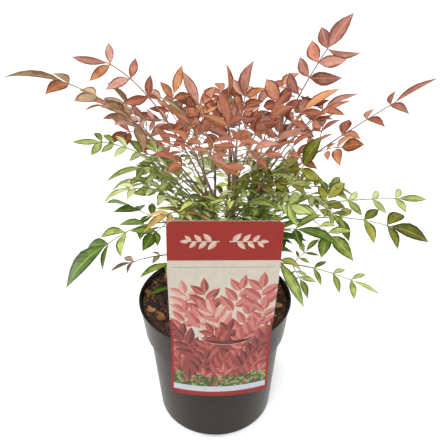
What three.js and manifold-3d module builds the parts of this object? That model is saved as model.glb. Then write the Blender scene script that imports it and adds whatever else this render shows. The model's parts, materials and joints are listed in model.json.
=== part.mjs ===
// Heavenly bamboo: a young clump of thin canes with compound leaves, growing in a
// black nursery pot that carries a plain hooked picture card on its rim.
// Millimetres, +Z up. The origin is the middle of the pot's flat underside, and the
// card hangs on the -Y side of the rim.
import * as THREE from 'three';
import { mergeVertices } from 'three/addons/utils/BufferGeometryUtils.js';
import Module from 'manifold-3d';

const wasm = await Module();
wasm.setup();

// ---------------------------------------------------------------- driving dimensions

const GAP = 0.3; // clear space between neighbouring solids

const POT = {
  height: 173,
  rimRadius: 95,
  lipHeight: 2.6,
  lipWidth: 1.2,
  collarFoot: 127,
  collarFootRadius: 89,
  stepHeight: 3.4,
  bodyTopRadius: 84,
  baseRadius: 74,
  footRounding: 9,
  wall: 1.6,
  floor: 3,
  sides: 36,
  holes: 8,
  holeRadius: 6,
  holeRing: 56,
};

const SOIL = {
  level: 160,
  flatRadius: 36,
  mound: 1.5,
  edgeDrop: 1.6,
  crest: 38, // how far the top of the mound and its shoulder lie inside the edge
  shoulder: 18,
  chips: 15,
  chipLength: [7, 15],
  chipWidth: [4, 8],
  chipThickness: 3.2,
  chipTilt: 0.3,
  chipRise: 1.3, // the middle of a chip over the level of the soil
};

const CARD = {
  width: 114.5,
  foot: 98,
  top: 331,
  corner: 6,
  thickness: 0.8,
  front: -96.3, // y of the sheet on its centre line
  footX: 5.2, // the centre line leans a little to the right on its way up
  topX: 11.3,
  turn: 0.04, // towards the foot its left edge is turned forward
  rimBend: 1 / 130, // it is bent most where the rim holds it
  footBend: 1 / 168,
  flatFrom: 280,
  slotShift: 8,
  slotHalfWidth: 30,
  slotTop: 181.5,
  slotFoot: 170.5,
  tongueHalfWidth: 27,
  tongueRadius: 90.4, // it lies inside the rim
  tongueTop: 187,
  tongueFoot: 163.5,
};

const CANES = {
  ring: 7,
  centre: [5, 0],
  footRadius: 16,
  topRadius: 30,
  drift: [14, 4], // how far the tops lean over to the right and the back
  footThickness: 2.6,
  topThickness: 1.4,
  flare: 1.5,
  flareHeight: 6,
  lowestTop: 322,
  topStep: 9,
  centreTop: 362,
  middle: 45, // a frond whose tip is nearer to the middle than this leaves the central cane
  bare: 6, // length of cane above the topmost stalk
  sides: 8,
  rings: 5,
};

const TWIG = { root: 1.4, tip: 0.75, pinna: 0.7, sunk: 2, step: 3 };
const LEAF = {
  thickness: 1,
  widest: 0.42, // share of the length where the blade is widest
  slender: 0.36, // width over length
  slenderLast: 0.31,
  camber: 0.06,
  last: 1.25, // the last leaflet, as a multiple of the frond's leaflet length
};
// Leaflets and side stalks, as shares of the frond's leaflet length, and how far apart the
// leaflets of a side stalk stand, in radians.
const PINNA = {
  single: 0.84,
  stalkLow: 1,
  stalkHigh: 0.72,
  fork: 0.78,
  last: 0.98,
  side: 0.74,
  spread: 0.95,
};
// How a leaflet grows: how far it and its side stalk turn away from the stalk, how far a
// side stalk lifts, and how far a leaflet is let down, rolled and varied in size.
const HABIT = {
  turn: [0.8, 1.1],
  lift: [-0.12, 0.16],
  droop: [0.02, 0.3],
  roll: [-0.45, 0.45],
  size: [0.88, 1.12],
};
// How much a stalk or leaflet that finds no room changes with each further try.
const RETRY = { sway: 0.12, rise: 2.2, twist: 0.25, droop: 0.09, roll: 0.5, size: 0.05 };
// Half of the clear space that each kind keeps, and the space over soil, rim and card.
const REACH = { twig: 1.7, leaf: 2.1, cane: 1.0 };
const KEEP = { soil: 6, rim: 2, card: 3 };
const TRIES = { stalk: 14, leaf: 7 };
const SEED = 20611;

// Leaflets along a frond: place on the stalk, and how many leaflets each side carries.
const PATTERNS = {
  long: [[0.48, 3], [0.66, 1], [0.82, 1], [0.97, 1]],
  full: [[0.42, 3], [0.64, 3], [0.83, 1], [0.97, 1]],
  short: [[0.5, 3], [0.74, 1], [0.96, 1]],
  close: [[0.5, 3], [0.67, 1], [0.79, 1], [0.89, 1], [0.985, 1]],
  small: [[0.62, 1], [0.95, 1]],
};

const TINTS = {
  red: 0xb3593f,
  rose: 0xa8605a,
  bronze: 0xa0683f,
  olive: 0x6a6a1e,
  green: 0x5c7424,
  lime: 0x98a24c,
  amber: 0xaa8f52,
  dry: 0x75685a,
};

// One frond is one compound leaf: the height at which it leaves its cane, the tip of its
// last leaflet, how far the stalk bows up from a straight line, its leaflets' length,
// its pattern, its tint, and how far the leaflets are turned about the stalk, in degrees.
const FRONDS = [
  ['left_long', 310, [-206, -20, 452], 78, 46, 'long', 'bronze', 6],
  ['left_high', 330, [-150, 30, 459], 80, 31, 'long', 'rose', -52],
  ['left_light', 304, [-150, -15, 381], 44, 24, 'close', 'lime', -30],
  ['left_middle', 288, [-114, -34, 345], 62, 32, 'full', 'green', 0],
  ['left_lower', 268, [-113, -66, 334], 70, 27, 'full', 'green', 0],
  ['left_drooping', 262, [-152, -98, 252], 92, 48, 'long', 'green', 0],
  ['left_dry', 226, [-120, -38, 232], 26, 20, 'small', 'dry', 0],
  ['left_low', 206, [-84, -56, 236], 40, 30, 'small', 'green', 0],
  ['top_left', 342, [-36, 58, 438], 42, 33, 'full', 'rose', -30],
  ['top_middle', 352, [12, 16, 455], 6, 29, 'close', 'rose', 40],
  ['top_centre', 346, [40, 6, 460], 10, 29, 'close', 'rose', 50],
  ['top_right', 338, [136, 5, 506], 30, 31, 'close', 'rose', 56],
  ['right_high', 328, [126, -14, 438], 46, 34, 'full', 'red', 34],
  ['right_middle', 316, [132, -44, 434], 40, 33, 'full', 'red', 14],
  ['right_long', 308, [226, -6, 445], 14, 37, 'long', 'rose', 10],
  ['right_upright', 282, [101, -75, 409], -34, 31, 'short', 'olive', 85],
  ['right_light', 284, [240, -5, 308], 22, 26, 'long', 'lime', 30],
  ['right_lower', 262, [235, -44, 275], 56, 36, 'long', 'olive', 32],
  ['right_near', 250, [128, -76, 292], 40, 38, 'short', 'green', 20],
  ['right_hanging', 238, [94, -98, 228], 84, 42, 'short', 'green', 0],
  ['right_low', 222, [186, -62, 218], 34, 26, 'long', 'green', 20],
  ['front_left', 276, [-68, -100, 320], 46, 29, 'short', 'amber', 0],
  ['front_green_left', 288, [-34, -72, 331], 30, 27, 'short', 'lime', 0],
  ['front_green', 296, [16, -80, 337], 26, 27, 'short', 'lime', 0],
  ['front_green_right', 290, [60, -64, 331], 30, 29, 'short', 'green', 0],
  ['front_olive', 304, [78, -62, 362], 44, 33, 'full', 'olive', 0],
  ['front_red_left', 322, [-38, -112, 430], 30, 31, 'full', 'red', 0],
  ['front_red', 330, [20, -134, 434], 26, 31, 'full', 'red', 0],
  ['front_red_right', 324, [80, -106, 428], 30, 31, 'full', 'rose', 0],
  ['middle_red_left', 340, [-62, -34, 440], 40, 32, 'full', 'red', 0],
  ['middle_red', 350, [6, -62, 448], 20, 33, 'short', 'red', 0],
  ['middle_red_right', 344, [78, -44, 446], 34, 33, 'full', 'bronze', 0],
];

// At the back the crown is filled evenly, in an upper and a lower tier. The fronds of a
// tier leave their canes at three heights, a stagger apart.
const BACK_TIERS = [
  { name: 'back_high', leaves: 298, headings: [22, 56, 90, 124, 156], reach: 182, height: 418,
    bow: 54, leaflet: 36, tint: 'red', wobble: 12, stagger: 7 },
  { name: 'back_low', leaves: 262, headings: [14, 46, 80, 114, 150], reach: 172, height: 300,
    bow: 68, leaflet: 34, tint: 'green', wobble: 14, stagger: 7 },
];

// ------------------------------------------------------------------------- small tools

const UP = new THREE.Vector3(0, 0, 1);
const GOLDEN_ANGLE = Math.PI * (3 - Math.sqrt(5)); // spreads points evenly round a middle
const vec = (x, y, z) => new THREE.Vector3(x, y, z);
const mix = (a, b, t) => a + (b - a) * t;
const radians = THREE.MathUtils.degToRad;

// A 32-bit generator, so that the same seed always grows the same plant.
function randomFrom(seed) {
  let state = seed >>> 0;
  return () => {
    state = (state + 0x6d2b79f5) >>> 0;
    let word = Math.imul(state ^ (state >>> 15), state | 1);
    word ^= word + Math.imul(word ^ (word >>> 7), word | 61);
    return ((word ^ (word >>> 14)) >>> 0) / 4294967296;
  };
}

function closedGeometry(points, faces) {
  const geometry = new THREE.BufferGeometry();
  const positions = new Float32Array(points.flatMap((p) => [p.x, p.y, p.z]));
  geometry.setAttribute('position', new THREE.BufferAttribute(positions, 3));
  geometry.setIndex(faces.flat());
  return geometry;
}

function solidOf(geometry, weld = 1e-4) {
  const bare = geometry.clone();
  bare.deleteAttribute('normal');
  bare.deleteAttribute('uv');
  const merged = mergeVertices(bare, weld);
  const corners = [];
  for (let k = 0; k < merged.index.count; k += 3) {
    const [a, b, c] = merged.index.array.slice(k, k + 3);
    // A lathe has triangles without width where its profile meets the axis.
    if (a !== b && b !== c && c !== a) corners.push(a, b, c);
  }
  return new wasm.Manifold(new wasm.Mesh({
    numProp: 3,
    vertProperties: new Float32Array(merged.attributes.position.array),
    triVerts: new Uint32Array(corners),
  }));
}

function geometryOf(solid) {
  const mesh = solid.getMesh();
  const geometry = new THREE.BufferGeometry();
  geometry.setAttribute('position', new THREE.BufferAttribute(mesh.vertProperties, 3));
  geometry.setIndex(new THREE.BufferAttribute(mesh.triVerts, 1));
  return geometry;
}

// A union can leave corners nearer to each other than a micron; they are drawn together.
function fuse(geometries) {
  const whole = geometries.map((g) => solidOf(g)).reduce((sum, piece) => sum.add(piece));
  for (const weld of [1e-3, 4e-3, 1e-2]) {
    try {
      return solidOf(geometryOf(whole), weld);
    } catch {
      // Drawn together this far, the surface no longer closes: the next step is wider.
    }
  }
  return whole;
}

function named(name, geometry, color, roughness) {
  const material = new THREE.MeshStandardMaterial({ color, roughness, metalness: 0 });
  const mesh = new THREE.Mesh(geometry, material);
  mesh.name = name;
  return mesh;
}

// Rings of points, all with the same count, skinned and capped at both ends.
function skin(rings) {
  const sides = rings[0].length;
  const faces = [];
  for (let r = 0; r + 1 < rings.length; r += 1) {
    for (let s = 0; s < sides; s += 1) {
      const a = r * sides + s;
      const b = r * sides + ((s + 1) % sides);
      faces.push([a, b, b + sides], [a, b + sides, a + sides]);
    }
  }
  const last = (rings.length - 1) * sides;
  for (let s = 1; s + 1 < sides; s += 1) {
    faces.push([0, s + 1, s], [last, last + s, last + s + 1]);
  }
  return closedGeometry(rings.flat(), faces);
}

// A twig has three flat sides. `across` is square to the path and keeps it from twisting.
function twigGeometry(points, radii, across) {
  const rings = points.map((point, k) => {
    const before = points[Math.max(k - 1, 0)];
    const after = points[Math.min(k + 1, points.length - 1)];
    const along = after.clone().sub(before).normalize();
    const over = along.clone().cross(across).normalize();
    const flat = over.clone().cross(along);
    return [90, 210, 330].map((turn) => point.clone()
      .addScaledVector(flat, radii[k] * Math.cos(radians(turn)))
      .addScaledVector(over, radii[k] * Math.sin(radians(turn))));
  });
  return skin(rings);
}

// A leaflet has six faces: it is widest just below its middle, with a low ridge there on
// its upper side, and its blade arches so that root and tip hang below that place. The
// upper side looks up, whichever side of the twig the leaflet grows on.
function leafletGeometry(leaf) {
  const side = leaf.side.clone();
  const over = side.clone().cross(leaf.along).normalize();
  if (over.z < 0) {
    side.negate();
    over.negate();
  }
  const middle = leaf.root.clone()
    .addScaledVector(leaf.along, leaf.length * LEAF.widest)
    .addScaledVector(over, leaf.length * LEAF.camber);
  const half = leaf.length * leaf.slender / 2;
  const points = [
    leaf.root.clone(),
    middle.clone().addScaledVector(side, half),
    middle.clone().addScaledVector(over, LEAF.thickness),
    middle.clone().addScaledVector(side, -half),
    leaf.root.clone().addScaledVector(leaf.along, leaf.length),
  ];
  const faces = [];
  for (let k = 1; k <= 3; k += 1) {
    const next = k % 3 + 1;
    faces.push([0, k, next], [4, next, k]);
  }
  return closedGeometry(points, faces);
}

// --------------------------------------------------------------------------------- pot

function potProfile() {
  const stepFoot = POT.collarFoot - POT.stepHeight;
  const lipFoot = POT.height - POT.lipHeight;
  const lipInner = POT.rimRadius - POT.lipWidth;
  const foot = POT.baseRadius - POT.footRounding;
  const profile = [[0, 0], [foot, 0]];
  for (let turn = 30; turn <= 90; turn += 30) {
    profile.push([
      foot + POT.footRounding * Math.sin(radians(turn)),
      POT.footRounding * (1 - Math.cos(radians(turn))),
    ]);
  }
  profile.push(
    [POT.bodyTopRadius, stepFoot],
    [POT.collarFootRadius, POT.collarFoot],
    [lipInner, lipFoot],
    [POT.rimRadius, lipFoot + 0.6],
    [POT.rimRadius, POT.height],
    [POT.rimRadius - POT.wall, POT.height],
    [lipInner - POT.wall, lipFoot - 1],
    [POT.collarFootRadius - POT.wall, POT.collarFoot + POT.wall],
    [POT.bodyTopRadius - POT.wall, stepFoot + POT.wall],
    [POT.baseRadius - POT.wall, POT.footRounding],
    [foot, POT.floor],
    [0, POT.floor],
  );
  return profile.map(([r, z]) => new THREE.Vector2(r, z));
}

// A lathe turns about Y, so it is stood up on Z.
function turned(profile, sides) {
  return new THREE.LatheGeometry(profile, sides).rotateX(Math.PI / 2);
}

function potGeometry() {
  let solid = solidOf(turned(potProfile(), POT.sides));
  for (let k = 0; k < POT.holes; k += 1) {
    const turn = 2 * Math.PI * (k + 0.5) / POT.holes;
    const hole = new THREE.CylinderGeometry(POT.holeRadius, POT.holeRadius, POT.floor * 3, 10);
    hole.rotateX(Math.PI / 2);
    hole.translate(POT.holeRing * Math.cos(turn), POT.holeRing * Math.sin(turn), POT.floor / 2);
    solid = solid.subtract(solidOf(hole));
  }
  return geometryOf(solid);
}

// -------------------------------------------------------------------------------- soil

function soilGeometry() {
  const inside = POT.wall + GAP + 0.1;
  const foot = POT.baseRadius - POT.footRounding;
  const edge = SOIL.level - SOIL.edgeDrop;
  const lipInner = POT.rimRadius - POT.lipWidth;
  const collar = (edge - POT.collarFoot) / (POT.height - POT.lipHeight - POT.collarFoot);
  const edgeRadius = mix(POT.collarFootRadius, lipInner, collar) - inside;
  const profile = [
    [0, POT.floor + GAP],
    [foot - GAP, POT.floor + GAP],
    [POT.baseRadius - inside, POT.footRounding + GAP],
    [POT.bodyTopRadius - inside, POT.collarFoot - POT.stepHeight + POT.wall + GAP],
    [POT.collarFootRadius - inside, POT.collarFoot + POT.wall + GAP],
    [edgeRadius - 0.3, edge],
    [edgeRadius - SOIL.shoulder, SOIL.level + SOIL.mound * 0.4],
    [edgeRadius - SOIL.crest, SOIL.level + SOIL.mound],
    [SOIL.flatRadius, SOIL.level],
    [0, SOIL.level],
  ].map(([r, z]) => new THREE.Vector2(r, z));
  const random = randomFrom(SEED);
  const pieces = [turned(profile, POT.sides)];
  for (let k = 0; k < SOIL.chips; k += 1) {
    const turn = k * GOLDEN_ANGLE;
    const ring = mix(SOIL.flatRadius + 6, edgeRadius - 12, Math.sqrt(random()));
    const length = mix(...SOIL.chipLength, random());
    const width = mix(...SOIL.chipWidth, random());
    const chip = new THREE.BoxGeometry(length, width, SOIL.chipThickness);
    chip.rotateX(mix(-SOIL.chipTilt, SOIL.chipTilt, random()));
    chip.rotateY(mix(-SOIL.chipTilt, SOIL.chipTilt, random()));
    chip.rotateZ(random() * Math.PI);
    chip.translate(ring * Math.cos(turn), ring * Math.sin(turn), SOIL.level + SOIL.chipRise);
    pieces.push(chip);
  }
  return geometryOf(fuse(pieces));
}

// -------------------------------------------------------------------------------- card

function cardRise(z) {
  return (z - CARD.foot) / (CARD.top - CARD.foot);
}

function cardCentre(z) {
  return mix(CARD.footX, CARD.topX, cardRise(z));
}

// How strongly the sheet is bent at a height, as one over its radius.
function cardBend(z) {
  if (z < POT.height) {
    return mix(CARD.footBend, CARD.rimBend, (z - CARD.foot) / (POT.height - CARD.foot));
  }
  return CARD.rimBend * Math.max((CARD.flatFrom - z) / (CARD.flatFrom - POT.height), 0);
}

// y of the sheet where it lies `out` to the right of its centre line.
function cardDepth(out, z) {
  const turned = out * CARD.turn * (1 - cardRise(z));
  return CARD.front + turned + out * out * cardBend(z) / 2;
}

// A thin sheet over rows of heights, each with its own half width. A bend draws it in.
function sheetGeometry(rows, columns, depthAt, shift = 0) {
  const points = [];
  for (const offset of [-CARD.thickness / 2, CARD.thickness / 2]) {
    for (const { z, half } of rows) {
      for (let c = 0; c <= columns; c += 1) {
        const across = shift + mix(-half, half, c / columns);
        const out = across * (1 - (across * cardBend(z)) ** 2 / 6);
        points.push(vec(cardCentre(z) + out, depthAt(out, z) + offset, z));
      }
    }
  }
  const wide = columns + 1;
  const back = rows.length * wide;
  const faces = [];
  const quad = (a, b, c, d) => faces.push([a, b, c], [a, c, d]);
  for (let r = 0; r + 1 < rows.length; r += 1) {
    const row = r * wide;
    const end = row + columns;
    for (let a = row; a < end; a += 1) {
      quad(a, a + 1, a + 1 + wide, a + wide);
      quad(back + a + 1, back + a, back + a + wide, back + a + 1 + wide);
    }
    quad(end, back + end, back + end + wide, end + wide);
    quad(back + row, row, row + wide, back + row + wide);
  }
  for (let a = 0; a < columns; a += 1) {
    const top = back - wide + a;
    quad(a, back + a, back + a + 1, a + 1);
    quad(top, top + 1, back + top + 1, back + top);
  }
  return closedGeometry(points, faces);
}

function cardRows() {
  const rows = [];
  const half = CARD.width / 2;
  for (let turn = 0; turn <= 90; turn += 30) {
    const inset = CARD.corner * (1 - Math.sin(radians(turn)));
    const drop = CARD.corner * (1 - Math.cos(radians(turn)));
    rows.push({ z: CARD.foot + drop, half: half - inset });
  }
  const straight = 7;
  for (let k = 1; k < straight; k += 1) {
    const z = mix(CARD.foot + CARD.corner, CARD.top - CARD.corner, k / straight);
    rows.push({ z, half });
  }
  for (let turn = 90; turn >= 0; turn -= 30) {
    const inset = CARD.corner * (1 - Math.sin(radians(turn)));
    const drop = CARD.corner * (1 - Math.cos(radians(turn)));
    rows.push({ z: CARD.top - drop, half: half - inset });
  }
  return rows;
}

// The tongue leaves the sheet above the rim, passes over the rim and hangs inside it.
function tongueDepth(out, z) {
  const overRim = POT.height + 2;
  const lean = Math.min((CARD.tongueTop - z) / (CARD.tongueTop - overRim), 1);
  const inside = -Math.sqrt(CARD.tongueRadius ** 2 - (cardCentre(z) + out) ** 2);
  return mix(cardDepth(out, z), inside, lean);
}

function cardGeometry() {
  const sheet = solidOf(sheetGeometry(cardRows(), 6, cardDepth));
  const smile = new THREE.Shape();
  const { slotHalfWidth: half, slotTop: top, slotFoot: foot } = CARD;
  smile.moveTo(-half, top);
  smile.quadraticCurveTo(0, foot * 2 - top, half, top);
  smile.quadraticCurveTo(0, top - 2, -half, top);
  const through = { depth: 12, bevelEnabled: false, curveSegments: 6 };
  const slot = new THREE.ExtrudeGeometry(smile, through);
  slot.rotateX(Math.PI / 2);
  slot.translate(cardCentre(top) + CARD.slotShift, CARD.front + through.depth / 2, 0);
  const tongueRows = [];
  for (let k = 0; k <= 4; k += 1) {
    const rise = k / 4;
    const z = mix(CARD.tongueFoot, CARD.tongueTop, rise);
    tongueRows.push({ z, half: CARD.tongueHalfWidth * Math.sqrt(1 - 0.55 * (1 - rise) ** 2) });
  }
  const tongue = sheetGeometry(tongueRows, 4, tongueDepth, CARD.slotShift);
  return geometryOf(sheet.subtract(solidOf(slot)).add(solidOf(tongue)));
}

// ------------------------------------------------------------------------------- canes

// Where a cane stands, where its top is, and how thick it is at a height.
function plantCanes() {
  const canes = [];
  const ground = SOIL.level + GAP;
  for (let k = 0; k <= CANES.ring; k += 1) {
    const central = k === CANES.ring;
    const azimuth = 2 * Math.PI * (k + 0.5) / CANES.ring;
    const foot = central ? 0 : CANES.footRadius;
    const spread = central ? 0 : CANES.topRadius;
    const top = central ? CANES.centreTop : CANES.lowestTop + CANES.topStep * ((k * 3) % 4);
    canes.push({
      name: `cane_${k + 1}`,
      azimuth,
      central,
      ground,
      top,
      at(z) {
        const rise = (z - ground) / (top - ground);
        const out = mix(foot, spread, rise * rise);
        return vec(
          CANES.centre[0] + CANES.drift[0] * rise + out * Math.cos(azimuth),
          CANES.centre[1] + CANES.drift[1] * rise + out * Math.sin(azimuth),
          z,
        );
      },
      radius(z) {
        const rise = (z - ground) / (top - ground);
        const flare = CANES.flare * Math.exp(-(z - ground) / CANES.flareHeight);
        return mix(CANES.footThickness, CANES.topThickness, rise) + flare;
      },
    });
  }
  return canes;
}

// The rings are level, so the foot is a flat cut at the soil.
function caneGeometry(cane) {
  const heights = [cane.ground, cane.ground + CANES.flareHeight];
  for (let k = 1; k <= CANES.rings; k += 1) {
    heights.push(mix(cane.ground + CANES.flareHeight, cane.top, k / CANES.rings));
  }
  return skin(heights.map((z) => {
    const ring = [];
    for (let s = 0; s < CANES.sides; s += 1) {
      const turn = 2 * Math.PI * s / CANES.sides;
      const r = cane.radius(z);
      ring.push(cane.at(z).add(vec(r * Math.cos(turn), r * Math.sin(turn), 0)));
    }
    return ring;
  }));
}

// ------------------------------------------------------- keeping the fronds to themselves

// Points with an owner and a reach, kept in cubes so that neighbours are found quickly.
class Space {
  constructor() {
    this.cell = 8;
    this.cubes = new Map();
  }

  cube(point) {
    return [point.x, point.y, point.z].map((v) => Math.floor(v / this.cell));
  }

  add(points, reach, owner) {
    for (const point of points) {
      const key = this.cube(point).join();
      if (!this.cubes.has(key)) this.cubes.set(key, []);
      this.cubes.get(key).push({ point, reach, owner });
    }
  }

  // True where no point of another owner is nearer than the two reaches.
  isClear(points, reach, owner, spared) {
    for (const point of points) {
      const [i, j, k] = this.cube(point);
      for (let n = 0; n < 27; n += 1) {
        const key = [i + n % 3 - 1, j + Math.floor(n / 3) % 3 - 1, k + Math.floor(n / 9) - 1];
        for (const other of this.cubes.get(key.join()) ?? []) {
          const keep = reach + other.reach;
          const own = other.owner === owner || other.owner === spared;
          if (!own && point.distanceToSquared(other.point) < keep * keep) return false;
        }
      }
    }
    return true;
  }
}

// Pot, soil and card, as a test on one point.
function isOpenAir(point, reach) {
  const out = Math.hypot(point.x, point.y);
  if (point.z < SOIL.level + KEEP.soil + reach) return false;
  const inRim = out > POT.rimRadius - POT.wall - KEEP.rim - reach
    && out < POT.rimRadius + KEEP.rim + reach;
  if (inRim && point.z < POT.height + KEEP.rim + reach) return false;
  const across = point.x - cardCentre(point.z);
  const beside = Math.abs(across) > CARD.width / 2 + KEEP.card + reach;
  const above = point.z > CARD.top + KEEP.card + reach;
  if (beside || above || point.z < CARD.foot) return true;
  return Math.abs(point.y - cardDepth(across, point.z)) > KEEP.card + reach;
}

// ------------------------------------------------------------------------------ fronds

function backFronds() {
  const random = randomFrom(SEED + 1);
  const rows = [];
  for (const tier of BACK_TIERS) {
    tier.headings.forEach((heading, k) => {
      const turn = radians(heading);
      const reach = tier.reach + tier.wobble * mix(-1, 1, random());
      const rise = tier.height + tier.wobble * mix(-1, 1, random());
      const tip = [
        CANES.centre[0] + reach * Math.cos(turn),
        CANES.centre[1] + reach * Math.sin(turn),
        rise - 0.1 * reach * Math.sin(turn),
      ];
      const leaves = tier.leaves + tier.stagger * (k % 3);
      const name = `${tier.name}_${k + 1}`;
      rows.push([name, leaves, tip, tier.bow, tier.leaflet, 'full', tier.tint, 0]);
    });
  }
  return rows;
}

// The cane that faces the tip carries the frond; a frond that rises over the middle
// leaves the central cane.
function caneFor(tip, canes) {
  const x = tip[0] - CANES.centre[0] - CANES.drift[0];
  const y = tip[1] - CANES.centre[1] - CANES.drift[1];
  if (Math.hypot(x, y) < CANES.middle) return canes.find((cane) => cane.central);
  const facing = (cane) => x * Math.cos(cane.azimuth) + y * Math.sin(cane.azimuth);
  return canes.filter((cane) => !cane.central)
    .reduce((best, cane) => (facing(cane) > facing(best) ? cane : best));
}

// The stalk is an arc in an upright plane, from its cane to the tip of the last leaflet.
function stalkOf(row, cane, sway, lift) {
  const [, leaves, tipAt, bow] = row;
  const height = Math.min(leaves + lift, cane.top - CANES.bare);
  const tip = vec(...tipAt);
  const core = cane.at(height);
  const heading = vec(tip.x - core.x, tip.y - core.y, 0).normalize();
  const flat = heading.clone().applyAxisAngle(UP, sway);
  const control = core.clone().add(tip).multiplyScalar(0.5);
  control.z += bow;
  const start = control.clone().sub(core).normalize();
  const offset = cane.radius(height) + GAP + TWIG.root * Math.max(start.z, 0.2);
  const root = core.clone().addScaledVector(flat, offset);
  control.addScaledVector(flat.clone().sub(heading), root.distanceTo(tip) * 0.3);
  return { curve: new THREE.QuadraticBezierCurve3(root, control, tip), heading };
}

function samplesAlong(from, to, step) {
  const count = Math.max(Math.ceil(from.distanceTo(to) / step), 1);
  const points = [];
  for (let k = 0; k <= count; k += 1) points.push(from.clone().lerp(to, k / count));
  return points;
}

function leafletSamples(leaf) {
  const points = [];
  for (let k = 1; k <= 8; k += 1) {
    const f = k / 8;
    const widest = LEAF.widest;
    const full = leaf.length * leaf.slender / 2;
    const half = full * (f < widest ? f / widest : (1 - f) / (1 - widest));
    const middle = leaf.root.clone().addScaledVector(leaf.along, leaf.length * f);
    for (const w of [-1, -0.5, 0, 0.5, 1]) {
      points.push(middle.clone().addScaledVector(leaf.side, half * w));
    }
  }
  return points;
}

// A leaflet on a twig: turned away from the twig, let down by its weight and rolled a little.
function leafletOn(root, along, side, turn, droop, roll, length) {
  const over = side.clone().cross(along).normalize();
  const out = along.clone().multiplyScalar(Math.cos(turn)).addScaledVector(side, Math.sin(turn));
  out.z -= droop;
  out.normalize();
  const blade = over.clone().cross(out).normalize().multiplyScalar(-1);
  blade.applyAxisAngle(out, roll);
  return { root, along: out, side: blade, length, slender: LEAF.slender };
}

function growFronds(canes) {
  const space = new Space();
  for (const cane of canes) {
    const heights = samplesAlong(cane.at(cane.ground), vec(0, 0, cane.top), 3).map((p) => p.z);
    heights.forEach((z) => space.add([cane.at(z)], cane.radius(z) + REACH.cane, cane.name));
  }
  const airy = (points, reach, frond, spared) => points.every((p) => isOpenAir(p, reach))
    && space.isClear(points, reach, frond.name, spared);

  // First every main stalk finds its way out, so that no leaflet bars it.
  const fronds = [...FRONDS, ...backFronds()].map((row, index) => {
    const [name, , tip, , leaflet, pattern, tint, turned] = row;
    const random = randomFrom(SEED + 97 * (index + 2));
    const cane = caneFor(tip, canes);
    const roll = radians(turned);
    const frond = { name, leaflet, pattern, tint, roll, random, twigs: [], leaves: [] };
    for (let attempt = 0; attempt < TRIES.stalk; attempt += 1) {
      const sway = attempt * RETRY.sway * mix(-1, 1, random());
      const lift = attempt * RETRY.rise * mix(-1, 1, random());
      const stalk = stalkOf(row, cane, sway, lift);
      const span = stalk.curve.getLength();
      const end = 1 - leaflet * LEAF.last / span;
      const points = stalk.curve.getSpacedPoints(Math.ceil(span / TWIG.step));
      const rachis = points.slice(0, Math.floor(points.length * end) + 1);
      if (airy(rachis, REACH.twig, frond, cane.name) || attempt === TRIES.stalk - 1) {
        const across = stalk.heading.clone().cross(UP).normalize();
        Object.assign(frond, { curve: stalk.curve, across, end });
        space.add(rachis, REACH.twig, name);
        break;
      }
    }
    return frond;
  });

  for (const frond of fronds) growLastLeaflet(frond, space, airy);
  for (const frond of fronds) growLeaflets(frond, space, airy);
  return fronds;
}

// The last leaflet carries on where the stalk ends and reaches the frond's tip.
function growLastLeaflet(frond, space, airy) {
  const last = frond.curve.getPointAt(frond.end);
  const along = frond.curve.getPointAt(1).sub(last);
  const length = along.length() + TWIG.sunk;
  along.normalize();
  const root = last.addScaledVector(frond.curve.getTangentAt(frond.end), -TWIG.sunk);
  for (const roll of [0, 0.5, -0.5, 1, -1]) {
    const side = frond.across.clone().applyAxisAngle(along, frond.roll + roll);
    const leaf = { root, along, side, length, slender: LEAF.slenderLast };
    const samples = leafletSamples(leaf);
    if (airy(samples, REACH.leaf, frond)) {
      space.add(samples, REACH.leaf, frond.name);
      frond.leaves.push(leaf);
      return;
    }
  }
}

function growLeaflets(frond, space, airy) {
  const { curve, end, leaflet, random } = frond;
  const nodes = PATTERNS[frond.pattern].map(([where]) => where);
  const stops = [0, nodes[0] / 3, nodes[0] / 1.5, ...nodes, 1];
  frond.twigs.push({
    points: stops.map((stop) => curve.getPointAt(end * stop)),
    radii: stops.map((stop) => mix(TWIG.root, TWIG.tip, stop)),
    across: frond.across,
  });

  const place = (root, along, side, turn, length) => {
    const droop = mix(...HABIT.droop, random());
    const roll = mix(...HABIT.roll, random());
    const size = length * mix(...HABIT.size, random());
    const twist = mix(-RETRY.twist, RETRY.twist, random());
    for (let attempt = 0; attempt < TRIES.leaf; attempt += 1) {
      const leaf = leafletOn(root, along, side, turn + twist * attempt,
        droop + RETRY.droop * attempt, roll * (1 - attempt * RETRY.roll),
        size * (1 - attempt * RETRY.size));
      const samples = leafletSamples(leaf);
      if (airy(samples, REACH.leaf, frond)) {
        space.add(samples, REACH.leaf, frond.name);
        frond.leaves.push(leaf);
        return;
      }
    }
  };

  for (const [where, count] of PATTERNS[frond.pattern]) {
    const node = curve.getPointAt(end * where);
    const along = curve.getTangentAt(end * where);
    const across = frond.across.clone().applyAxisAngle(along, frond.roll);
    const face = across.clone().cross(along).normalize(); // the upper side of this pair
    for (const hand of [-1, 1]) {
      const side = across.clone().multiplyScalar(hand);
      const turn = mix(...HABIT.turn, random());
      const lift = mix(...HABIT.lift, random());
      if (count === 1) {
        place(node, along, side, turn, leaflet * PINNA.single);
      } else {
        const out = along.clone().multiplyScalar(Math.cos(turn));
        out.addScaledVector(side, Math.sin(turn));
        out.z += lift;
        out.normalize();
        growPinna(frond, node, out, face, where, space, airy, place);
      }
    }
  }
}

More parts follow.
